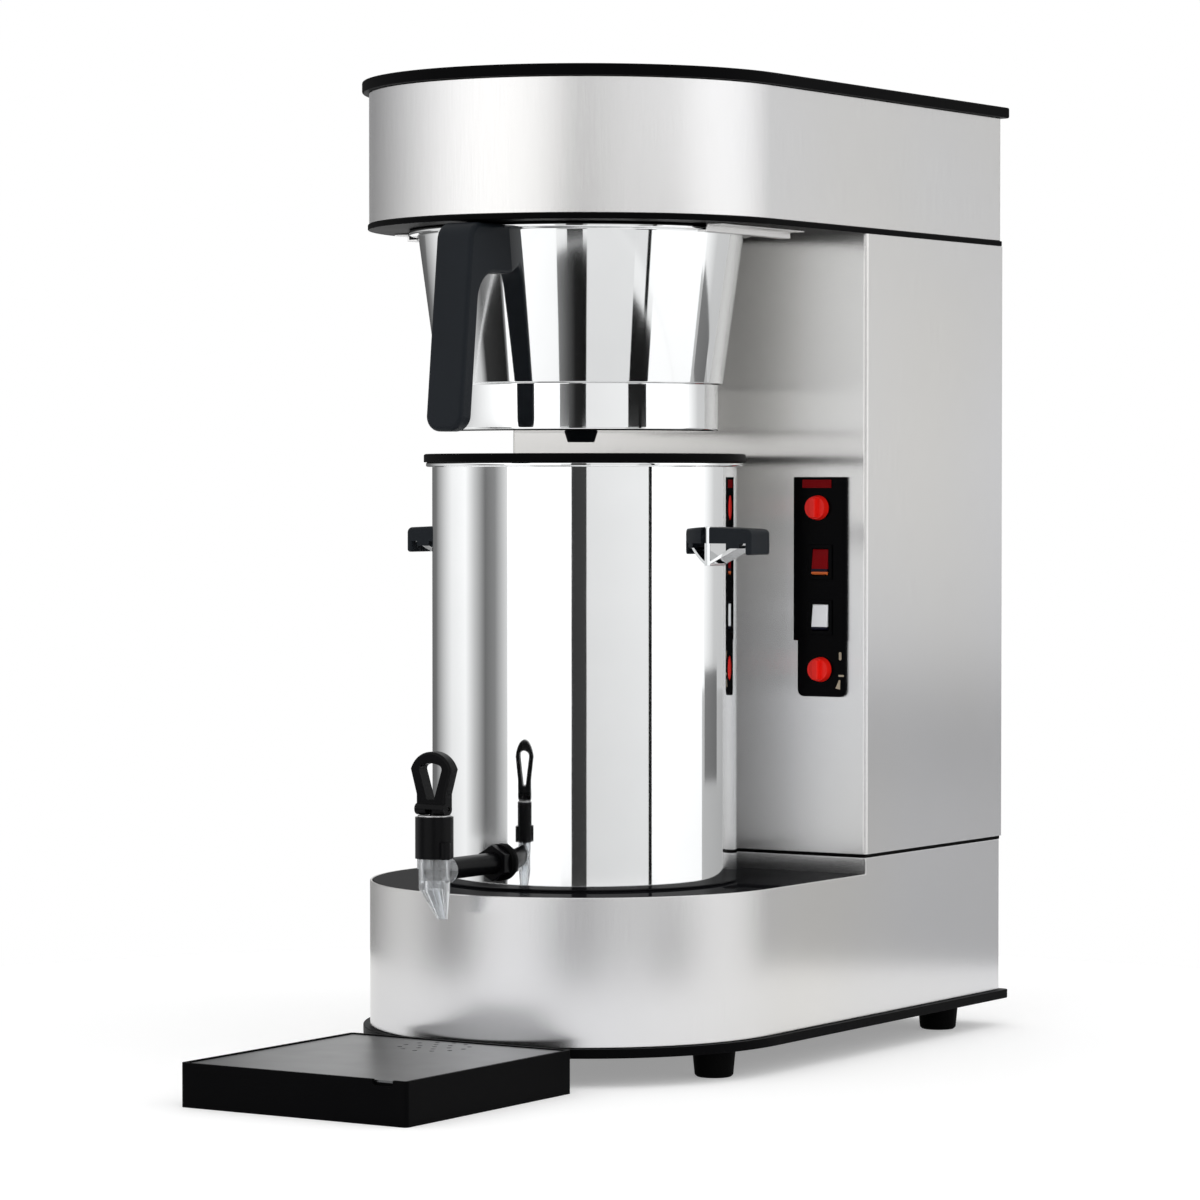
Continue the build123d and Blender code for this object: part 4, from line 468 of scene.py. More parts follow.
def brass():
    board, finish = new_material("brass")
    mottle = board.noise(80, 3)
    tone = board.ramp(mottle, [(0.3, (0.62, 0.47, 0.2, 1)), (0.7, (0.8, 0.63, 0.32, 1))])
    return finish(Base_Color=tone, Metallic=1.0, Roughness=0.25 + mottle * 0.15)


# %% [markdown]
# The black housing parts, the grips, knobs and rockers are moulded plastic. A mould leaves a fine
# grain, and the colour drifts a little over a piece. One function makes them all from a colour, a
# gloss and the depth of the grain. Shine sets how strongly a plain black surface mirrors the room.

# %% Plastics, enamel and rubber
MOULD_GRAIN = 0.00003           # metres
FINE_GRAIN = 0.00001


def plastic(name, colour, gloss, grain=MOULD_GRAIN, scale=1500, coat=0.0, tint=0.12, shine=0.5):
    """A plastic, enamel or rubber; tint is how far its colour drifts to either side."""
    board, finish = new_material(name)
    dapple = board.noise(scale, 2)
    clouds = board.noise(18, 3)
    dark = tuple(c * (1 - tint) for c in colour) + (1,)
    light = tuple(min(1, c * (1 + tint)) for c in colour) + (1,)
    tone = board.ramp(clouds, [(0.3, dark), (0.7, light)])
    return finish(Base_Color=tone, Roughness=gloss + clouds * 0.08, Coat_Weight=coat,
                  Specular_IOR_Level=shine, Normal=board.bump(dapple, grain, 0.6))


# %% [markdown]
# The tap's body is clear plastic, so that the valve can be seen to be clean. It is a Principled shader
# with Transmission, and a slow swirl in roughness and bump gives the unevenness of moulded clear parts.

# %% Clear plastic
def clear_plastic():
    board, finish = new_material("clear_plastic")
    swirl = board.noise(90, 2)
    tone = board.ramp(swirl, [(0.3, (0.84, 0.86, 0.88, 1)), (0.7, (0.88, 0.9, 0.92, 1))])
    return finish(Base_Color=tone, Roughness=0.05 + swirl * 0.07,
                  Transmission_Weight=0.85, IOR=1.49, Normal=board.bump(swirl, 0.0003, 0.2))


# %% [markdown]
# The blacks differ by gloss and shine: the lid is dull, the deck enamelled, the panel glossy and the
# feet rubber. The keys are the record's slots. The orange and the dark blue are a painted highlight and
# a painted shade on the rockers' feet, and the dial ink is for the marks on the panel; these three serve
# nothing else.

# %% List the finishes
finishes = {
    "satin_steel": satin_steel(),
    "mirror_steel": mirror_steel(),
    "plain_steel": plain_steel(),
    "brass": brass(),
    "black_housing": plastic("black_housing", (0.002, 0.002, 0.0023), 0.4, shine=0.02),
    "deck_enamel": plastic("deck_enamel", (0.006, 0.006, 0.007), 0.12, grain=FINE_GRAIN, scale=700,
                           shine=0.0, coat=0.08),
    "black_grip": plastic("black_grip", (0.01, 0.0125, 0.016), 0.42, grain=0.00004, shine=0.1),
    "black_tap": plastic("black_tap", (0.003, 0.003, 0.0035), 0.25, grain=FINE_GRAIN, shine=0.08),
    "black_panel": plastic("black_panel", (0.001, 0.001, 0.0014), 0.14, grain=FINE_GRAIN, shine=0.03),
    "black_rubber": plastic("black_rubber", (0.003, 0.003, 0.003), 0.6, shine=0.02),
    "clear_plastic": clear_plastic(),
    "red_plastic": plastic("red_plastic", (0.85, 0.014, 0.008), 0.2, grain=FINE_GRAIN, coat=0.05,
                           tint=0.06, shine=0.2),
    "dark_red_plastic": plastic("dark_red_plastic", (0.2, 0.004, 0.006), 0.2, grain=FINE_GRAIN, shine=0.03),
    "white_plastic": plastic("white_plastic", (0.93, 0.94, 0.97), 0.25, grain=FINE_GRAIN, tint=0.02),
    "inner_plastic": plastic("inner_plastic", (0.2, 0.2, 0.22), 0.5),
    # painted highlight and painted shade for the rockers' feet
    "painted_highlight_orange": plastic("painted_highlight_orange", (0.62, 0.13, 0.03), 0.25, grain=FINE_GRAIN, shine=0.2),
    "painted_shade_blue": plastic("painted_shade_blue", (0.004, 0.004, 0.014), 0.25, grain=FINE_GRAIN, shine=0.1),
    "dial_ink": plastic("dial_ink", (0.42, 0.36, 0.27), 0.5, grain=FINE_GRAIN, shine=0.2),
    "foam": plastic("foam", (0.75, 0.7, 0.55), 0.9, grain=0.0003, scale=400),
}
print(len(finishes), "finishes")

# %% [markdown]
# The record says which slot each node has, and the node gets the finish of that name. Two pieces look
# unlike the rest of their slot: the drip tray's plate, whose colour is darkened as painted shade, and the
# frames round the rockers, which are as black as the panel.

# %% Dress the CAD nodes
for part in record["subparts"]:
    node = nodes[part["node"]]
    node.data.materials.clear()
    node.data.materials.append(finishes[part["material_slot"]])

# the tray plate's finish has its colour darkened as painted shade
nodes["tray_plate"].data.materials.clear()
nodes["tray_plate"].data.materials.append(tray_steel_painted_shade())
nodes["switch_frames"].data.materials[0] = finishes["black_panel"]
BODY_OF = {node: body for body, names in record["behaviour"]["bodies"].items() for node in names}
SLOT_OF = {part["node"]: part["material_slot"] for part in record["subparts"]}

# %% [markdown]
# ## Soft edges
# Folded sheet, moulded plastic and turned steel have no knife edges: each edge is a narrow round that
# catches a line of light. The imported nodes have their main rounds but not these, so each outside piece
# gets a copy with a Bevel modifier on its sharp edges, and Weighted Normal keeps its faces flat.
#
# Every new piece ends in the same way: its modifiers are settled into a plain mesh, and it is hung on
# the body that it moves with.

# %% Hang and settle new pieces
def hang(piece, body, slot, *stands_for):
    """Hangs a finished piece on its body and hides the nodes that it stands for. The slot is not used."""
    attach(piece, body)
    for node in stands_for:
        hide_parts(node)


def plain_object(name, mesh):
    """An object at the origin that shows a mesh."""
    piece = bpy.data.objects.new(name, mesh)
    bpy.context.scene.collection.objects.link(piece)
    return piece


def settle(piece, name):
    """Turns an object with modifiers into a plain mesh object called name."""
    evaluated = piece.evaluated_get(bpy.context.evaluated_depsgraph_get())
    mesh = bpy.data.meshes.new_from_object(evaluated)
    mesh.name = name
    bpy.data.objects.remove(piece)
    return plain_object(name, mesh)


# %% [markdown]
# A node's mesh is loose triangles. A bevel needs real edges, so its doubles are merged and triangles
# that lie in one plane are joined to one face.

# %% Clean copies with soft edges
SAME_POINT = 1e-6               # metres; points nearer than this are one
FLAT_TURN = radians(0.3)
SHARP_TURN = radians(35)
EDGE_STEPS = 3


def join_flats(shape):
    """Merges doubles, joins flat neighbours and shades every face smooth."""
    bmesh.ops.remove_doubles(shape, verts=shape.verts, dist=SAME_POINT)
    bmesh.ops.dissolve_limit(shape, angle_limit=FLAT_TURN, verts=shape.verts, edges=shape.edges)
    for face in shape.faces:
        face.smooth = True


def clean_copy(node):
    """A copy of a node's mesh with its doubles merged and its flat faces joined."""
    shape = bmesh.new()
    shape.from_mesh(nodes[node].data)
    join_flats(shape)
    mesh = bpy.data.meshes.new(node + "_copy")
    shape.to_mesh(mesh)
    shape.free()
    mesh.materials.clear()
    mesh.materials.append(nodes[node].data.materials[0])
    return mesh


def soften(piece, width):
    """Adds modifiers that round the sharp edges by a width in millimetres."""
    edges = piece.modifiers.new("soft_edges", "BEVEL")
    edges.width = width * MM
    edges.segments = EDGE_STEPS
    edges.limit_method = "ANGLE"
    edges.angle_limit = SHARP_TURN
    edges.miter_outer = "MITER_ARC"
    shading = piece.modifiers.new("even_shading", "WEIGHTED_NORMAL")
    shading.keep_sharp = True


# %% [markdown]
# Each rocker is a moulded cap. Across its foot go bands of painted light: on the power rocker an orange
# painted highlight with a dark blue painted shade above it, on the warmer rocker a dark blue painted
# shade. The copy is cut where a band starts and ends, and the faces between get the band's finish. A cut
# stays sharp however near one looks, and the band rocks with its cap.

# %% Bands across the rockers
BANDS = {                       # heights above the foot in millimetres, and a finish
    # orange is a painted highlight and dark blue a painted shade on the rockers' feet
    "power_rocker": [(0, 2.4, "painted_highlight_orange"), (2.4, 4.6, "painted_shade_blue")],
    "warmer_rocker": [(0, 2.6, "painted_shade_blue")],
}


def paint_band(piece, low, high, finish):
    """Cuts a piece at two heights above its lowest point and gives the faces between another finish."""
    foot = min(vertex.co.z for vertex in piece.data.vertices)
    shape = bmesh.new()
    shape.from_mesh(piece.data)
    for cut in (low, high):
        whole = shape.verts[:] + shape.edges[:] + shape.faces[:]
        bmesh.ops.bisect_plane(shape, geom=whole, dist=SAME_POINT / 10,
                               plane_co=(0, 0, foot + cut * MM), plane_no=(0, 0, 1))
    for face in shape.faces:
        if low * MM <= face.calc_center_median().z - foot <= high * MM:
            face.material_index = len(piece.data.materials)
    shape.to_mesh(piece.data)
    shape.free()
    piece.data.materials.append(finishes[finish])


print(sum(len(bands) for bands in BANDS.values()), "bands on", len(BANDS), "rockers")

# %% [markdown]
# The widths follow the way of making: a fold in thin sheet is about 0.7 mm, a pressed lid or a moulded
# pan about 1 mm, and small mouldings and cut sheet 0.2 to 0.5 mm.

# %% Soften the outside pieces
SOFT_EDGES = {                  # node and the width of its rounds in millimetres
    "base_pan": 0.9, "deck_plate": 0.6, "column_shell": 0.7, "head_underplate": 0.7, "head_shell": 0.7,
    "top_lid": 1.2, "tray_pan": 0.9, "tray_plate": 0.3, "panel_plate": 0.4, "power_rocker": 0.5,
    "warmer_rocker": 0.5, "handle_bracket_left": 0.35, "handle_bracket_right": 0.35, "tap_bonnet": 0.6,
    "tap_nuts": 0.5, "bonnet_ring": 0.3, "switch_frames": 0.3, "water_inlet": 0.5, "cable_gland": 0.5,
    "back_panel_screws": 0.5, "seam_gasket": 0.2, "timer_knob": 0.45, "thermostat_knob": 0.45,
    "basket_rails": 0.3, "basket_handle": 0.25, "rubber_feet": 0.4, "indicator_lens": 0.3,
}

for node, width in SOFT_EDGES.items():
    start = plain_object(node + "_start", clean_copy(node))
    soften(start, width)
    softened = settle(start, node + "_soft")
    for low, high, finish in BANDS.get(node, []):
        paint_band(softened, low, high, finish)
    hang(softened, BODY_OF[node], SLOT_OF[node], node)
print(len(SOFT_EDGES), "pieces have soft edges")

# %% [markdown]
# The base's side wall and the riser that carries the column are one folded sheet on the real machine.
# Two pieces would show a seam there. So the base wall is cut at the riser's front, the riser is added,
# points that meet are merged, and the faces between the two are deleted.

# %% Weld the riser to the base wall
SHEET_ROUND = 0.7               # millimetres


def weld_base_wall():
    """One wall from the base shell and the column riser, with soft edges."""
    seam_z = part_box("base_shell")[1][2]
    front_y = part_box("column_riser")[0][1]
    shape = bmesh.new()
    shape.from_mesh(nodes["base_shell"].data)
    bmesh.ops.remove_doubles(shape, verts=shape.verts, dist=SAME_POINT)
    whole = shape.verts[:] + shape.edges[:] + shape.faces[:]
    bmesh.ops.bisect_plane(shape, geom=whole, dist=SAME_POINT, plane_co=(0, front_y, 0), plane_no=(0, 1, 0))
    shape.from_mesh(nodes["column_riser"].data)
    bmesh.ops.remove_doubles(shape, verts=shape.verts, dist=2 * SAME_POINT)
    near = 10 * SAME_POINT
    between = [face for face in shape.faces
               if all(abs(v.co.z - seam_z) < near and v.co.y > front_y - near for v in face.verts)]
    bmesh.ops.delete(shape, geom=between, context="FACES")
    join_flats(shape)
    mesh = bpy.data.meshes.new("base_wall_start")
    shape.to_mesh(mesh)
    print(len(between), "faces deleted at the seam,",
          sum(not edge.is_manifold for edge in shape.edges), "open edges")
    shape.free()
    mesh.materials.append(finishes["satin_steel"])
    piece = plain_object("base_wall_start", mesh)
    soften(piece, SHEET_ROUND)
    return settle(piece, "base_wall")


hang(weld_base_wall(), "brewer", "satin_steel", "base_shell", "column_riser")

# %% [markdown]
# ## Turned and spun pieces
# The urn, its rim and lid and the filter basket are round: a lathe or a spinning tool makes each from
# one profile. A Geometry Nodes tree can do the same, and its sizes stay named inputs that can be
# changed. The repeats and the tap's spring further down are trees as well. The three helpers here
# start a tree, end it, and run it on a mesh.

# %% Geometry Nodes helpers
def new_tree(name, sizes):
    """A tree that takes a geometry and named sizes. Returns its board and a wire for each input."""
    tree = bpy.data.node_groups.new(name, "GeometryNodeTree")
    tree.interface.new_socket("Geometry", in_out="OUTPUT", socket_type="NodeSocketGeometry")
    for label, kind in {"Geometry": "Geometry", **sizes, "Finish": "Material"}.items():
        tree.interface.new_socket(label, in_out="INPUT", socket_type="NodeSocket" + kind)
    board = Board(tree)
    source = tree.nodes.new("NodeGroupInput")
    wires = {output.name: Wire(board, output) for output in source.outputs if output.name}
    return board, wires


def end_tree(board, geometry, wires):
    """Makes instances real, gives all faces the finish, and returns the tree."""
    real = board.add("GeometryNodeRealizeInstances", {}, {"Geometry": geometry})
    painted = board.add("GeometryNodeSetMaterial", {}, {"Geometry": real, "Material": wires["Finish"]})
    target = board.tree.nodes.new("NodeGroupOutput")
    board.tree.links.new(painted.socket, target.inputs["Geometry"])
    return board.tree


def run_tree(tree, name, mesh, **values):
    """Runs a tree on a mesh and returns the result as a plain object with faces that point outwards."""
    start = plain_object(name + "_start", mesh)
    modifier = start.modifiers.new("make", "NODES")
    modifier.node_group = tree
    for item in tree.interface.items_tree:
        if item.in_out == "INPUT" and item.name in values:
            modifier[item.identifier] = values[item.name]
    piece = settle(start, name)
    shape = bmesh.new()
    shape.from_mesh(piece.data)
    bmesh.ops.recalc_face_normals(shape, faces=shape.faces)
    for face in shape.faces:
        face.smooth = True
    shape.to_mesh(piece.data)
    shape.free()
    piece.data.set_sharp_from_angle(angle=SHARP_TURN)
    return piece


# %% [markdown]
# The lathe lays a grid with one row of points for each step round the axis. A point's number says
# which step and which point of the profile it is. The profile gives its radius and height, the step
# its angle, and Merge by Distance closes the round and the poles. Facets would show in a mirror, so
# there are many steps.

# %% The lathe
def lathe_tree():
    """Turns a profile in X and Z once round the Z axis and moves it to its place."""
    board, wires = new_tree("lathe", {"Steps": "Int", "Place": "Vector"})
    steps = wires["Steps"]
    points = board.add("GeometryNodeAttributeDomainSize", {"component": "MESH"}, {0: wires["Geometry"]})
    grid = board.add("GeometryNodeMeshGrid", {}, {"Vertices X": steps + 1, "Vertices Y": points})
    index = board.add("GeometryNodeInputIndex")
    step = (index / points).math("FLOOR")
    on_profile = index - step * points
    position = board.add("GeometryNodeInputPosition")
    profile = board.add("GeometryNodeSampleIndex", {"data_type": "FLOAT_VECTOR", "domain": "POINT"},
                        {"Geometry": wires["Geometry"], "Value": position, "Index": on_profile})
    radius, _, height = board.split(profile)
    angle = step / steps * (2 * pi)
    around = board.add("ShaderNodeCombineXYZ", {}, {
        "X": radius * angle.math("COSINE"), "Y": radius * angle.math("SINE"), "Z": height})
    bent = board.add("GeometryNodeSetPosition", {}, {"Geometry": grid, "Position": around})
    closed = board.add("GeometryNodeMergeByDistance", {}, {"Geometry": bent, "Distance": 2 * SAME_POINT})
    placed = board.add("GeometryNodeTransform", {}, {"Geometry": closed, "Translation": wires["Place"]})
    return end_tree(board, placed, wires)


LATHE = lathe_tree()
LATHE_STEPS = 256
print("the lathe turns in", LATHE_STEPS, "steps")

# %% [markdown]
# A profile is written as its corners, each with a rounding. The arc of a corner shares its last point
# with the straight run beyond, and smooth shading would spread the arc's turn over that whole run. A
# support point just past the arc keeps the run straight in the mirror.

# %% Profiles with rounded corners
SUPPORT = 0.3                   # millimetres from an arc to its support point
ROUND_STEPS = 6


def rounded(corners):
    """The points of a closed outline, in metres. A corner is a radius, a height and its rounding."""
    points = []
    for i, (x, z, rounding) in enumerate(corners):
        here = Vector((x, z))
        if not rounding:
            points.append(here * MM)
            continue
        before = (Vector(corners[i - 1][:2]) - here).normalized()
        after = (Vector(corners[(i + 1) % len(corners)][:2]) - here).normalized()
        half = before.angle(after) / 2
        centre = here + (before + after).normalized() * (rounding / sin(half))
        run = rounding / tan(half)
        first = (here + before * run - centre).normalized()
        last = (here + after * run - centre).normalized()
        points.append((here + before * (run + SUPPORT)) * MM)
        for k in range(ROUND_STEPS + 1):
            points.append((centre + first.slerp(last, k / ROUND_STEPS) * rounding) * MM)
        points.append((here + after * (run + SUPPORT)) * MM)
    return points + points[:1]


def profile_mesh(name, corners):
    """A closed line of edges in the XZ plane."""
    points = rounded(corners)
    mesh = bpy.data.meshes.new(name)
    mesh.from_pydata([(p.x, 0, p.y) for p in points], [(i, i + 1) for i in range(len(points) - 1)], [])
    return mesh


def spin(name, finish, corners, place=(0, 0, 0)):
    """A turned piece with the given profile, in millimetres, about an upright axis at a place."""
    return run_tree(LATHE, name, profile_mesh(name + "_profile", corners), Steps=LATHE_STEPS,
                    Place=place, Finish=finishes[finish])


# %% [markdown]
# The urn's wall is a drawn cup of thin sheet. Its rim is a rolled ring on top, and the lid is a turned
# plate with a hole in the middle, where the coffee runs in, and a plug that sits in the mouth. All
# their sizes come from the nodes that they stand for, so they fit without a gap.

# %% Spin the urn, its rim and its lid
URN_SHEET = 1.0                 # millimetres, as are the next four
LID_SHEET = 3.0
LID_HOLE = 16.0                 # radius
LID_PLAY = 0.3                  # between the plug and the mouth
LID_PLUG = 2.5                  # the plug's wall
urn_low, urn_high = (corner[2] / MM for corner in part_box("urn_shell"))
urn_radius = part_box("urn_shell")[1][0] / MM
rim_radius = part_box("urn_rim")[1][0] / MM
rim_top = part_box("urn_rim")[1][2] / MM
lid_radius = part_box("urn_lid")[1][0] / MM
lid_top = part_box("urn_lid")[1][2] / MM
plug_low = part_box("urn_lid")[0][2] / MM
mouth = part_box("urn_liner")[1][0] / MM - URN_SHEET
inner_radius = urn_radius - URN_SHEET
plug_outer = mouth - LID_PLAY
plug_inner = plug_outer - LID_PLUG
lid_under = lid_top - LID_SHEET

urn_wall = spin("urn_wall", "mirror_steel", [
    (0, urn_low, 0), (urn_radius, urn_low, 1.5), (urn_radius, urn_high, 0), (inner_radius, urn_high, 0),
    (inner_radius, urn_low + URN_SHEET, 0.5), (0, urn_low + URN_SHEET, 0)])
hang(urn_wall, "urn", "mirror_steel", "urn_shell")
urn_roll = spin("urn_roll", "mirror_steel", [
    (mouth, urn_high, 0.3), (rim_radius, urn_high, 1.4), (rim_radius, rim_top, 1.4), (mouth, rim_top, 0.3)])
hang(urn_roll, "urn", "mirror_steel", "urn_rim")
urn_cover = spin("urn_cover", "black_housing", [
    (LID_HOLE, lid_under, 0.4), (LID_HOLE, lid_top, 1.2), (lid_radius, lid_top, 1.5),
    (lid_radius, rim_top, 0.6), (plug_outer, rim_top, 0), (plug_outer, plug_low, 0.5),
    (plug_inner, plug_low, 0.5), (plug_inner, lid_under, 0.8)])
hang(urn_cover, "urn_lid", "black_housing", "urn_lid")
print("urn", round(2 * urn_radius, 1), "mm across, the top of its lid at", round(lid_top, 1), "mm")

# %% [markdown]
# The filter basket is spun from one sheet: a flange that slides on the rails, a cone, a small step
# and an upright foot with the outlet. The step is rounded by less than the flange, because the
# tool presses it into a corner.

# %% Spin the filter basket
BASKET_SHEET = 1.0              # millimetres, as are the next six
FLANGE_REACH = 6.5
FLANGE_DEPTH = 3.5
CONE_TAPER = 14.4               # how much smaller the cone's radius is at its foot
STEP_REACH = 3.2
STEP_HEIGHT = 34.5
OUTLET_RADIUS = 9.0
basket_low, basket_high = (corner[2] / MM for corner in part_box("basket_shell"))
flange_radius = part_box("basket_shell")[1][0] / MM
basket_y = (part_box("basket_shell")[0][1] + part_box("basket_shell")[1][1]) / 2
top_radius = flange_radius - FLANGE_REACH
waist_radius = top_radius - CONE_TAPER
foot_radius = waist_radius - STEP_REACH
flange_low = basket_high - FLANGE_DEPTH
step_inside = basket_low + STEP_HEIGHT
step_outside = step_inside - BASKET_SHEET
floor_inside = basket_low + BASKET_SHEET
basket_wall = spin("basket_wall", "mirror_steel", [
    (OUTLET_RADIUS, basket_low, 0), (foot_radius, basket_low, 2.0), (foot_radius, step_outside, 0.8),
    (waist_radius, step_outside, 0.8), (top_radius, flange_low, 1.2), (flange_radius, flange_low, 1.4),
    (flange_radius, basket_high, 1.4), (top_radius - BASKET_SHEET, basket_high, 1.5),
    (waist_radius - BASKET_SHEET, step_inside, 0.5), (foot_radius - BASKET_SHEET, step_inside, 0.5),
    (foot_radius - BASKET_SHEET, floor_inside, 1.0), (OUTLET_RADIUS, floor_inside, 0)],
    place=(0, basket_y, 0))
hang(basket_wall, "basket", "mirror_steel", "basket_shell")
print("basket", round(2 * flange_radius, 1), "mm across its flange")

# %% [markdown]
# ## Repeats
# Louvres and screw recesses are one small shape many times over. One tree makes both: it stands
# copies on a line, and can turn each a little further than the last, as screws stop where they like.

# %% The repeater
def repeat_tree():
    """Stands copies of a shape on a line, each turned by one more turn step."""
    board, wires = new_tree("repeat", {
        "Count": "Int", "Start": "Vector", "Step": "Vector", "First Turn": "Vector", "Turn Step": "Vector"})
    line = board.add("GeometryNodeMeshLine", {"mode": "OFFSET"}, {
        "Count": wires["Count"], "Start Location": wires["Start"], "Offset": wires["Step"]})
    index = board.add("GeometryNodeInputIndex")
    grown = board.add("ShaderNodeVectorMath", {"operation": "SCALE"}, {0: wires["Turn Step"], "Scale": index})
    turn = board.add("ShaderNodeVectorMath", {"operation": "ADD"}, {0: grown, 1: wires["First Turn"]})
    copies = board.add("GeometryNodeInstanceOnPoints", {}, {
        "Points": line, "Instance": wires["Geometry"], "Rotation": turn})
    return end_tree(board, copies, wires)


REPEAT = repeat_tree()


def repeat(name, mesh, finish, count, start, step, first_turn=(0, 0, 0), turn_step=(0, 0, 0)):
    """A row of copies as one plain object."""
    values = {"Count": count, "Start": start, "Step": step, "First Turn": first_turn,
              "Turn Step": turn_step, "Finish": finishes[finish]}
    return run_tree(REPEAT, name, mesh, **values)


# %% [markdown]
# The louvres in the back panel let the heat of the tank out. A press cuts each slot and pushes the
# sheet above it out to a hood, which keeps dripping water outside. A hood is half a lens: it swells
# along its length and curves down over the slot. The mesh is a skin, which Solidify makes a sheet.

# %% Louvre hoods on the back
HOOD_STEPS = 16                 # along a hood
HOOD_CURVE = 5                  # from its top to its edge


def hood_mesh(length, height, depth, sides):
    """Pressed hoods, one to each side: half a lens that opens downwards."""
    shape = bmesh.new()
    for side in sides:
        rows = []
        for i in range(HOOD_STEPS + 1):
            along = 2 * i / HOOD_STEPS - 1
            swell = sqrt(max(0.0, 1 - along ** 4))
            x = side + along * length / 2
            row = []
            for k in range(HOOD_CURVE + 1):
                y = swell * depth * sin(pi / 2 * k / HOOD_CURVE)
                z = swell * height * cos(pi / 2 * k / HOOD_CURVE)
                row.append(shape.verts.new((x * MM, y * MM, z * MM)))
            rows.append(row)
        for first, second in zip(rows, rows[1:]):
            for k in range(HOOD_CURVE):
                shape.faces.new((first[k], first[k + 1], second[k + 1], second[k]))
    bmesh.ops.remove_doubles(shape, verts=shape.verts, dist=SAME_POINT)
    mesh = bpy.data.meshes.new("hood")
    shape.to_mesh(mesh)
    shape.free()
    return mesh


LOUVRE_X = 55.0                 # millimetres, as are the next nine; from the middle to a row
LOUVRE_PITCH = 14.0
LOUVRE_LENGTH = 62.0
LOUVRE_DROP = 98.0              # from the column's top to the middle louvre
HOOD_OVERLAP = 4.0
HOOD_HEIGHT = 6.5
HOOD_DEPTH = 3.0
HOOD_SHEET = 0.6
HOOD_SINK = 0.2                 # into the panel
HOOD_FOOT = 2.0                 # below the slot's middle
LOUVRE_COUNT = 9
panel_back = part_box("back_panel")[1][1]
louvre_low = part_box("column_shell")[1][2] - LOUVRE_DROP * MM - LOUVRE_PITCH * (LOUVRE_COUNT - 1) / 2 * MM
hood = hood_mesh(LOUVRE_LENGTH + HOOD_OVERLAP, HOOD_HEIGHT, HOOD_DEPTH, (-LOUVRE_X, LOUVRE_X))
hoods = repeat("louvre_hoods", hood, "satin_steel", LOUVRE_COUNT,
               start=(0, panel_back - HOOD_SINK * MM, louvre_low - HOOD_FOOT * MM),
               step=(0, 0, LOUVRE_PITCH * MM))
walls = hoods.modifiers.new("sheet", "SOLIDIFY")
walls.thickness = HOOD_SHEET * MM
walls.offset = -1
hang(settle(hoods, "louvre_hood_rows"), "brewer", "satin_steel")
print(2 * LOUVRE_COUNT, "louvre hoods")

# %% [markdown]
# A crosshead screw has a dark cross in its head. It is only a fraction of a millimetre of shadow, so a
# thin black plate in the shape of a cross stands for it.

# %% A thin plate from an outline
def strip_mesh(name, outline, low, high):
    """A flat plate: an outline in X and Z, thick from y = low to y = high, all in millimetres."""
    shape = bmesh.new()
    rings = [[shape.verts.new((x * MM, y * MM, z * MM)) for x, z in outline] for y in (low, high)]
    for i in range(len(outline)):
        j = (i + 1) % len(outline)
        shape.faces.new((rings[0][i], rings[0][j], rings[1][j], rings[1][i]))
    for ring in rings:
        shape.faces.new(ring)
    bmesh.ops.recalc_face_normals(shape, faces=shape.faces)
    mesh = bpy.data.meshes.new(name)
    shape.to_mesh(mesh)
    shape.free()
    return mesh


# %% [markdown]
# The panel has a row of screws up each side. Each row is one run of the repeater, and its crosses
# start at a different turn, so that no two rows look alike.

# %% Screw recesses on the back
SCREW_HEAD = 4.0                # radius in millimetres
SCREW_COUNT = 4                 # up each side
CROSS_REACH = 2.2
CROSS_HALF = 0.45               # half the width of an arm
CROSS_DEPTH = 0.06
CROSS_SINK = 0.01               # into the head
CROSS_TURNS = {"left": (-1, 0.3), "right": (1, 0.9)}    # side of the middle, and radians
TURN_STEP = 1.1                 # radians from one screw to the next


def cross_outline(reach, half):
    """A cross in X and Z about the origin."""
    return [(reach, half), (half, half), (half, reach), (-half, reach), (-half, half), (-reach, half),
            (-reach, -half), (-half, -half), (-half, -reach), (half, -reach), (half, -half), (reach, -half)]


screw_low, screw_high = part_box("back_panel_screws")
screw_x = screw_high[0] - SCREW_HEAD * MM
screw_y = screw_high[1] - CROSS_SINK * MM
screw_z = screw_low[2] + SCREW_HEAD * MM
screw_pitch = (screw_high[2] - screw_low[2] - 2 * SCREW_HEAD * MM) / (SCREW_COUNT - 1)
for side, (sign, turn) in CROSS_TURNS.items():
    cross = strip_mesh("cross", cross_outline(CROSS_REACH, CROSS_HALF), 0, CROSS_DEPTH)
    recess = repeat("screw_recess_" + side, cross, "black_rubber", SCREW_COUNT,
                    start=(sign * screw_x, screw_y, screw_z), step=(0, 0, screw_pitch),
                    first_turn=(0, turn, 0), turn_step=(0, TURN_STEP, 0))
    hang(recess, "brewer", "black_rubber")
print(SCREW_COUNT * len(CROSS_TURNS), "screw recesses, every", round(screw_pitch / MM, 1), "mm")

# %% [markdown]
# ## Marks on the control panel
# The lower knob has three pale marks beside it, for the heat of the plate: an upright pill above, a
# dash below the knob's middle, and a wedge at its foot. They are printed, and here they are plates
# that stand out by the thickness of the ink. As shapes they stay crisp, where a texture would blur.

# %% Dial marks
INK_RISE = 0.05                 # millimetres, as are the sizes below
INK_SINK = 0.2
PILL_X = 16.3                   # from the knob's middle
PILL_Z = 10.0
PILL_RADIUS = 1.1
PILL_HALF = 1.9                 # half its straight run
PILL_STEPS = 16
DASH = [(15.0, -5.0), (19.4, -5.0), (19.4, -3.7), (15.0, -3.7)]
WEDGE = [(12.4, -13.6), (16.2, -14.4), (16.4, -7.6), (15.4, -7.4)]


def plates_mesh(name, outlines, low, high):
    """Several flat plates in one mesh."""
    shape = bmesh.new()
    for outline in outlines:
        part = strip_mesh(name, outline, low, high)
        shape.from_mesh(part)
        bpy.data.meshes.remove(part)
    mesh = bpy.data.meshes.new(name)
    shape.to_mesh(mesh)
    shape.free()
    return mesh


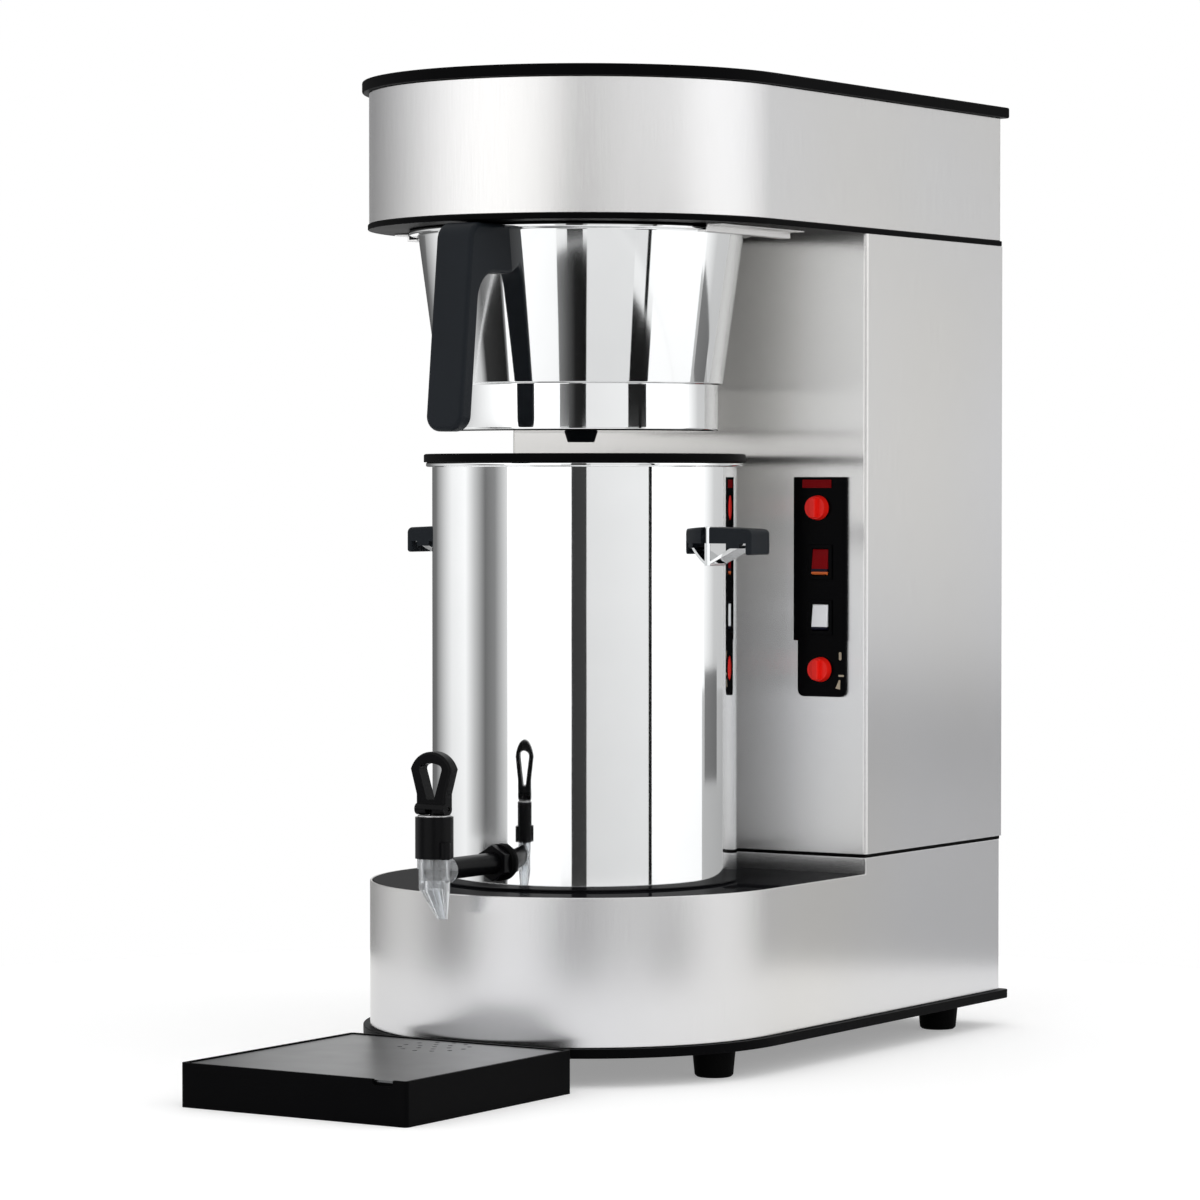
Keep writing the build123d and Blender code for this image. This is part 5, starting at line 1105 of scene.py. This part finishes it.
panel_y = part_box("panel_plate")[0][1] / MM
knob_low, knob_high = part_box("thermostat_knob")
knob_x = (knob_low[0] + knob_high[0]) / 2 / MM
knob_z = (knob_low[2] + knob_high[2]) / 2 / MM
pill = []
for k in range(PILL_STEPS):
    turn = 2 * pi * k / PILL_STEPS
    end = PILL_HALF if sin(turn) > 0 else -PILL_HALF
    pill.append((PILL_X + PILL_RADIUS * cos(turn), PILL_Z + PILL_RADIUS * sin(turn) + end))
outlines = [[(knob_x + x, knob_z + z) for x, z in outline] for outline in (pill, DASH, WEDGE)]
plates = plates_mesh("dial_marks", outlines, panel_y - INK_RISE, panel_y + INK_SINK)
marks = plain_object("dial_marks", plates)
marks.data.materials.append(finishes["dial_ink"])
hang(marks, "brewer", "black_panel")
print(len(outlines), "marks beside the lower knob")

# %% [markdown]
# ## The tap's spring
# A spring inside the bonnet presses the valve shut. The lever lifts the stem and the spring gets
# shorter; this piece stays on the urn. A spiral curve with a round wire swept along it is how a spring
# is made on a coiling machine.

# %% Coil the spring
SPRING_WIRE = 0.6               # millimetres, the wire's radius
SPRING_TURNS = 5.0
COIL_STEPS = 24                 # to a turn
WIRE_STEPS = 10                 # round the wire


def spring_tree():
    """A round wire swept along a spiral, which starts at a place and rises by a length."""
    board, wires = new_tree("spring", {
        "Turns": "Float", "Radius": "Float", "Length": "Float", "Wire": "Float", "Place": "Vector"})
    coil = board.add("GeometryNodeCurveSpiral", {}, {
        "Resolution": COIL_STEPS, "Rotations": wires["Turns"], "Start Radius": wires["Radius"],
        "End Radius": wires["Radius"], "Height": wires["Length"]})
    wire = board.add("GeometryNodeCurvePrimitiveCircle", {}, {
        "Resolution": WIRE_STEPS, "Radius": wires["Wire"]})
    swept = board.add("GeometryNodeCurveToMesh", {}, {
        "Curve": coil, "Profile Curve": wire, "Fill Caps": True})
    placed = board.add("GeometryNodeTransform", {}, {"Geometry": swept, "Translation": wires["Place"]})
    return end_tree(board, placed, wires)


stem_lift = next(joint for joint in frame["joints"] if joint["name"] == "tap_stem_lift")
stem_travel = stem_lift["range_m"][1]
spring_low, spring_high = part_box("tap_spring")
spring_middle = (spring_low + spring_high) / 2
wire_radius = SPRING_WIRE * MM
spring_radius = (spring_high[0] - spring_low[0]) / 2 - wire_radius
spring_length = spring_high[2] - spring_low[2] - 2 * wire_radius
spring = run_tree(spring_tree(), "tap_spring_coil", bpy.data.meshes.new("spring_start"),
                  Turns=SPRING_TURNS, Radius=spring_radius, Length=spring_length, Wire=wire_radius,
                  Place=(0, spring_middle[1], spring_low[2] + wire_radius), Finish=finishes["plain_steel"])
hang(spring, "urn", "plain_steel", "tap_spring")
1 - stem_travel / spring_length
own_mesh(spring)
print("spring", round(spring_length / MM, 1), "mm long, pressed by", round(stem_travel / MM, 1), "mm")
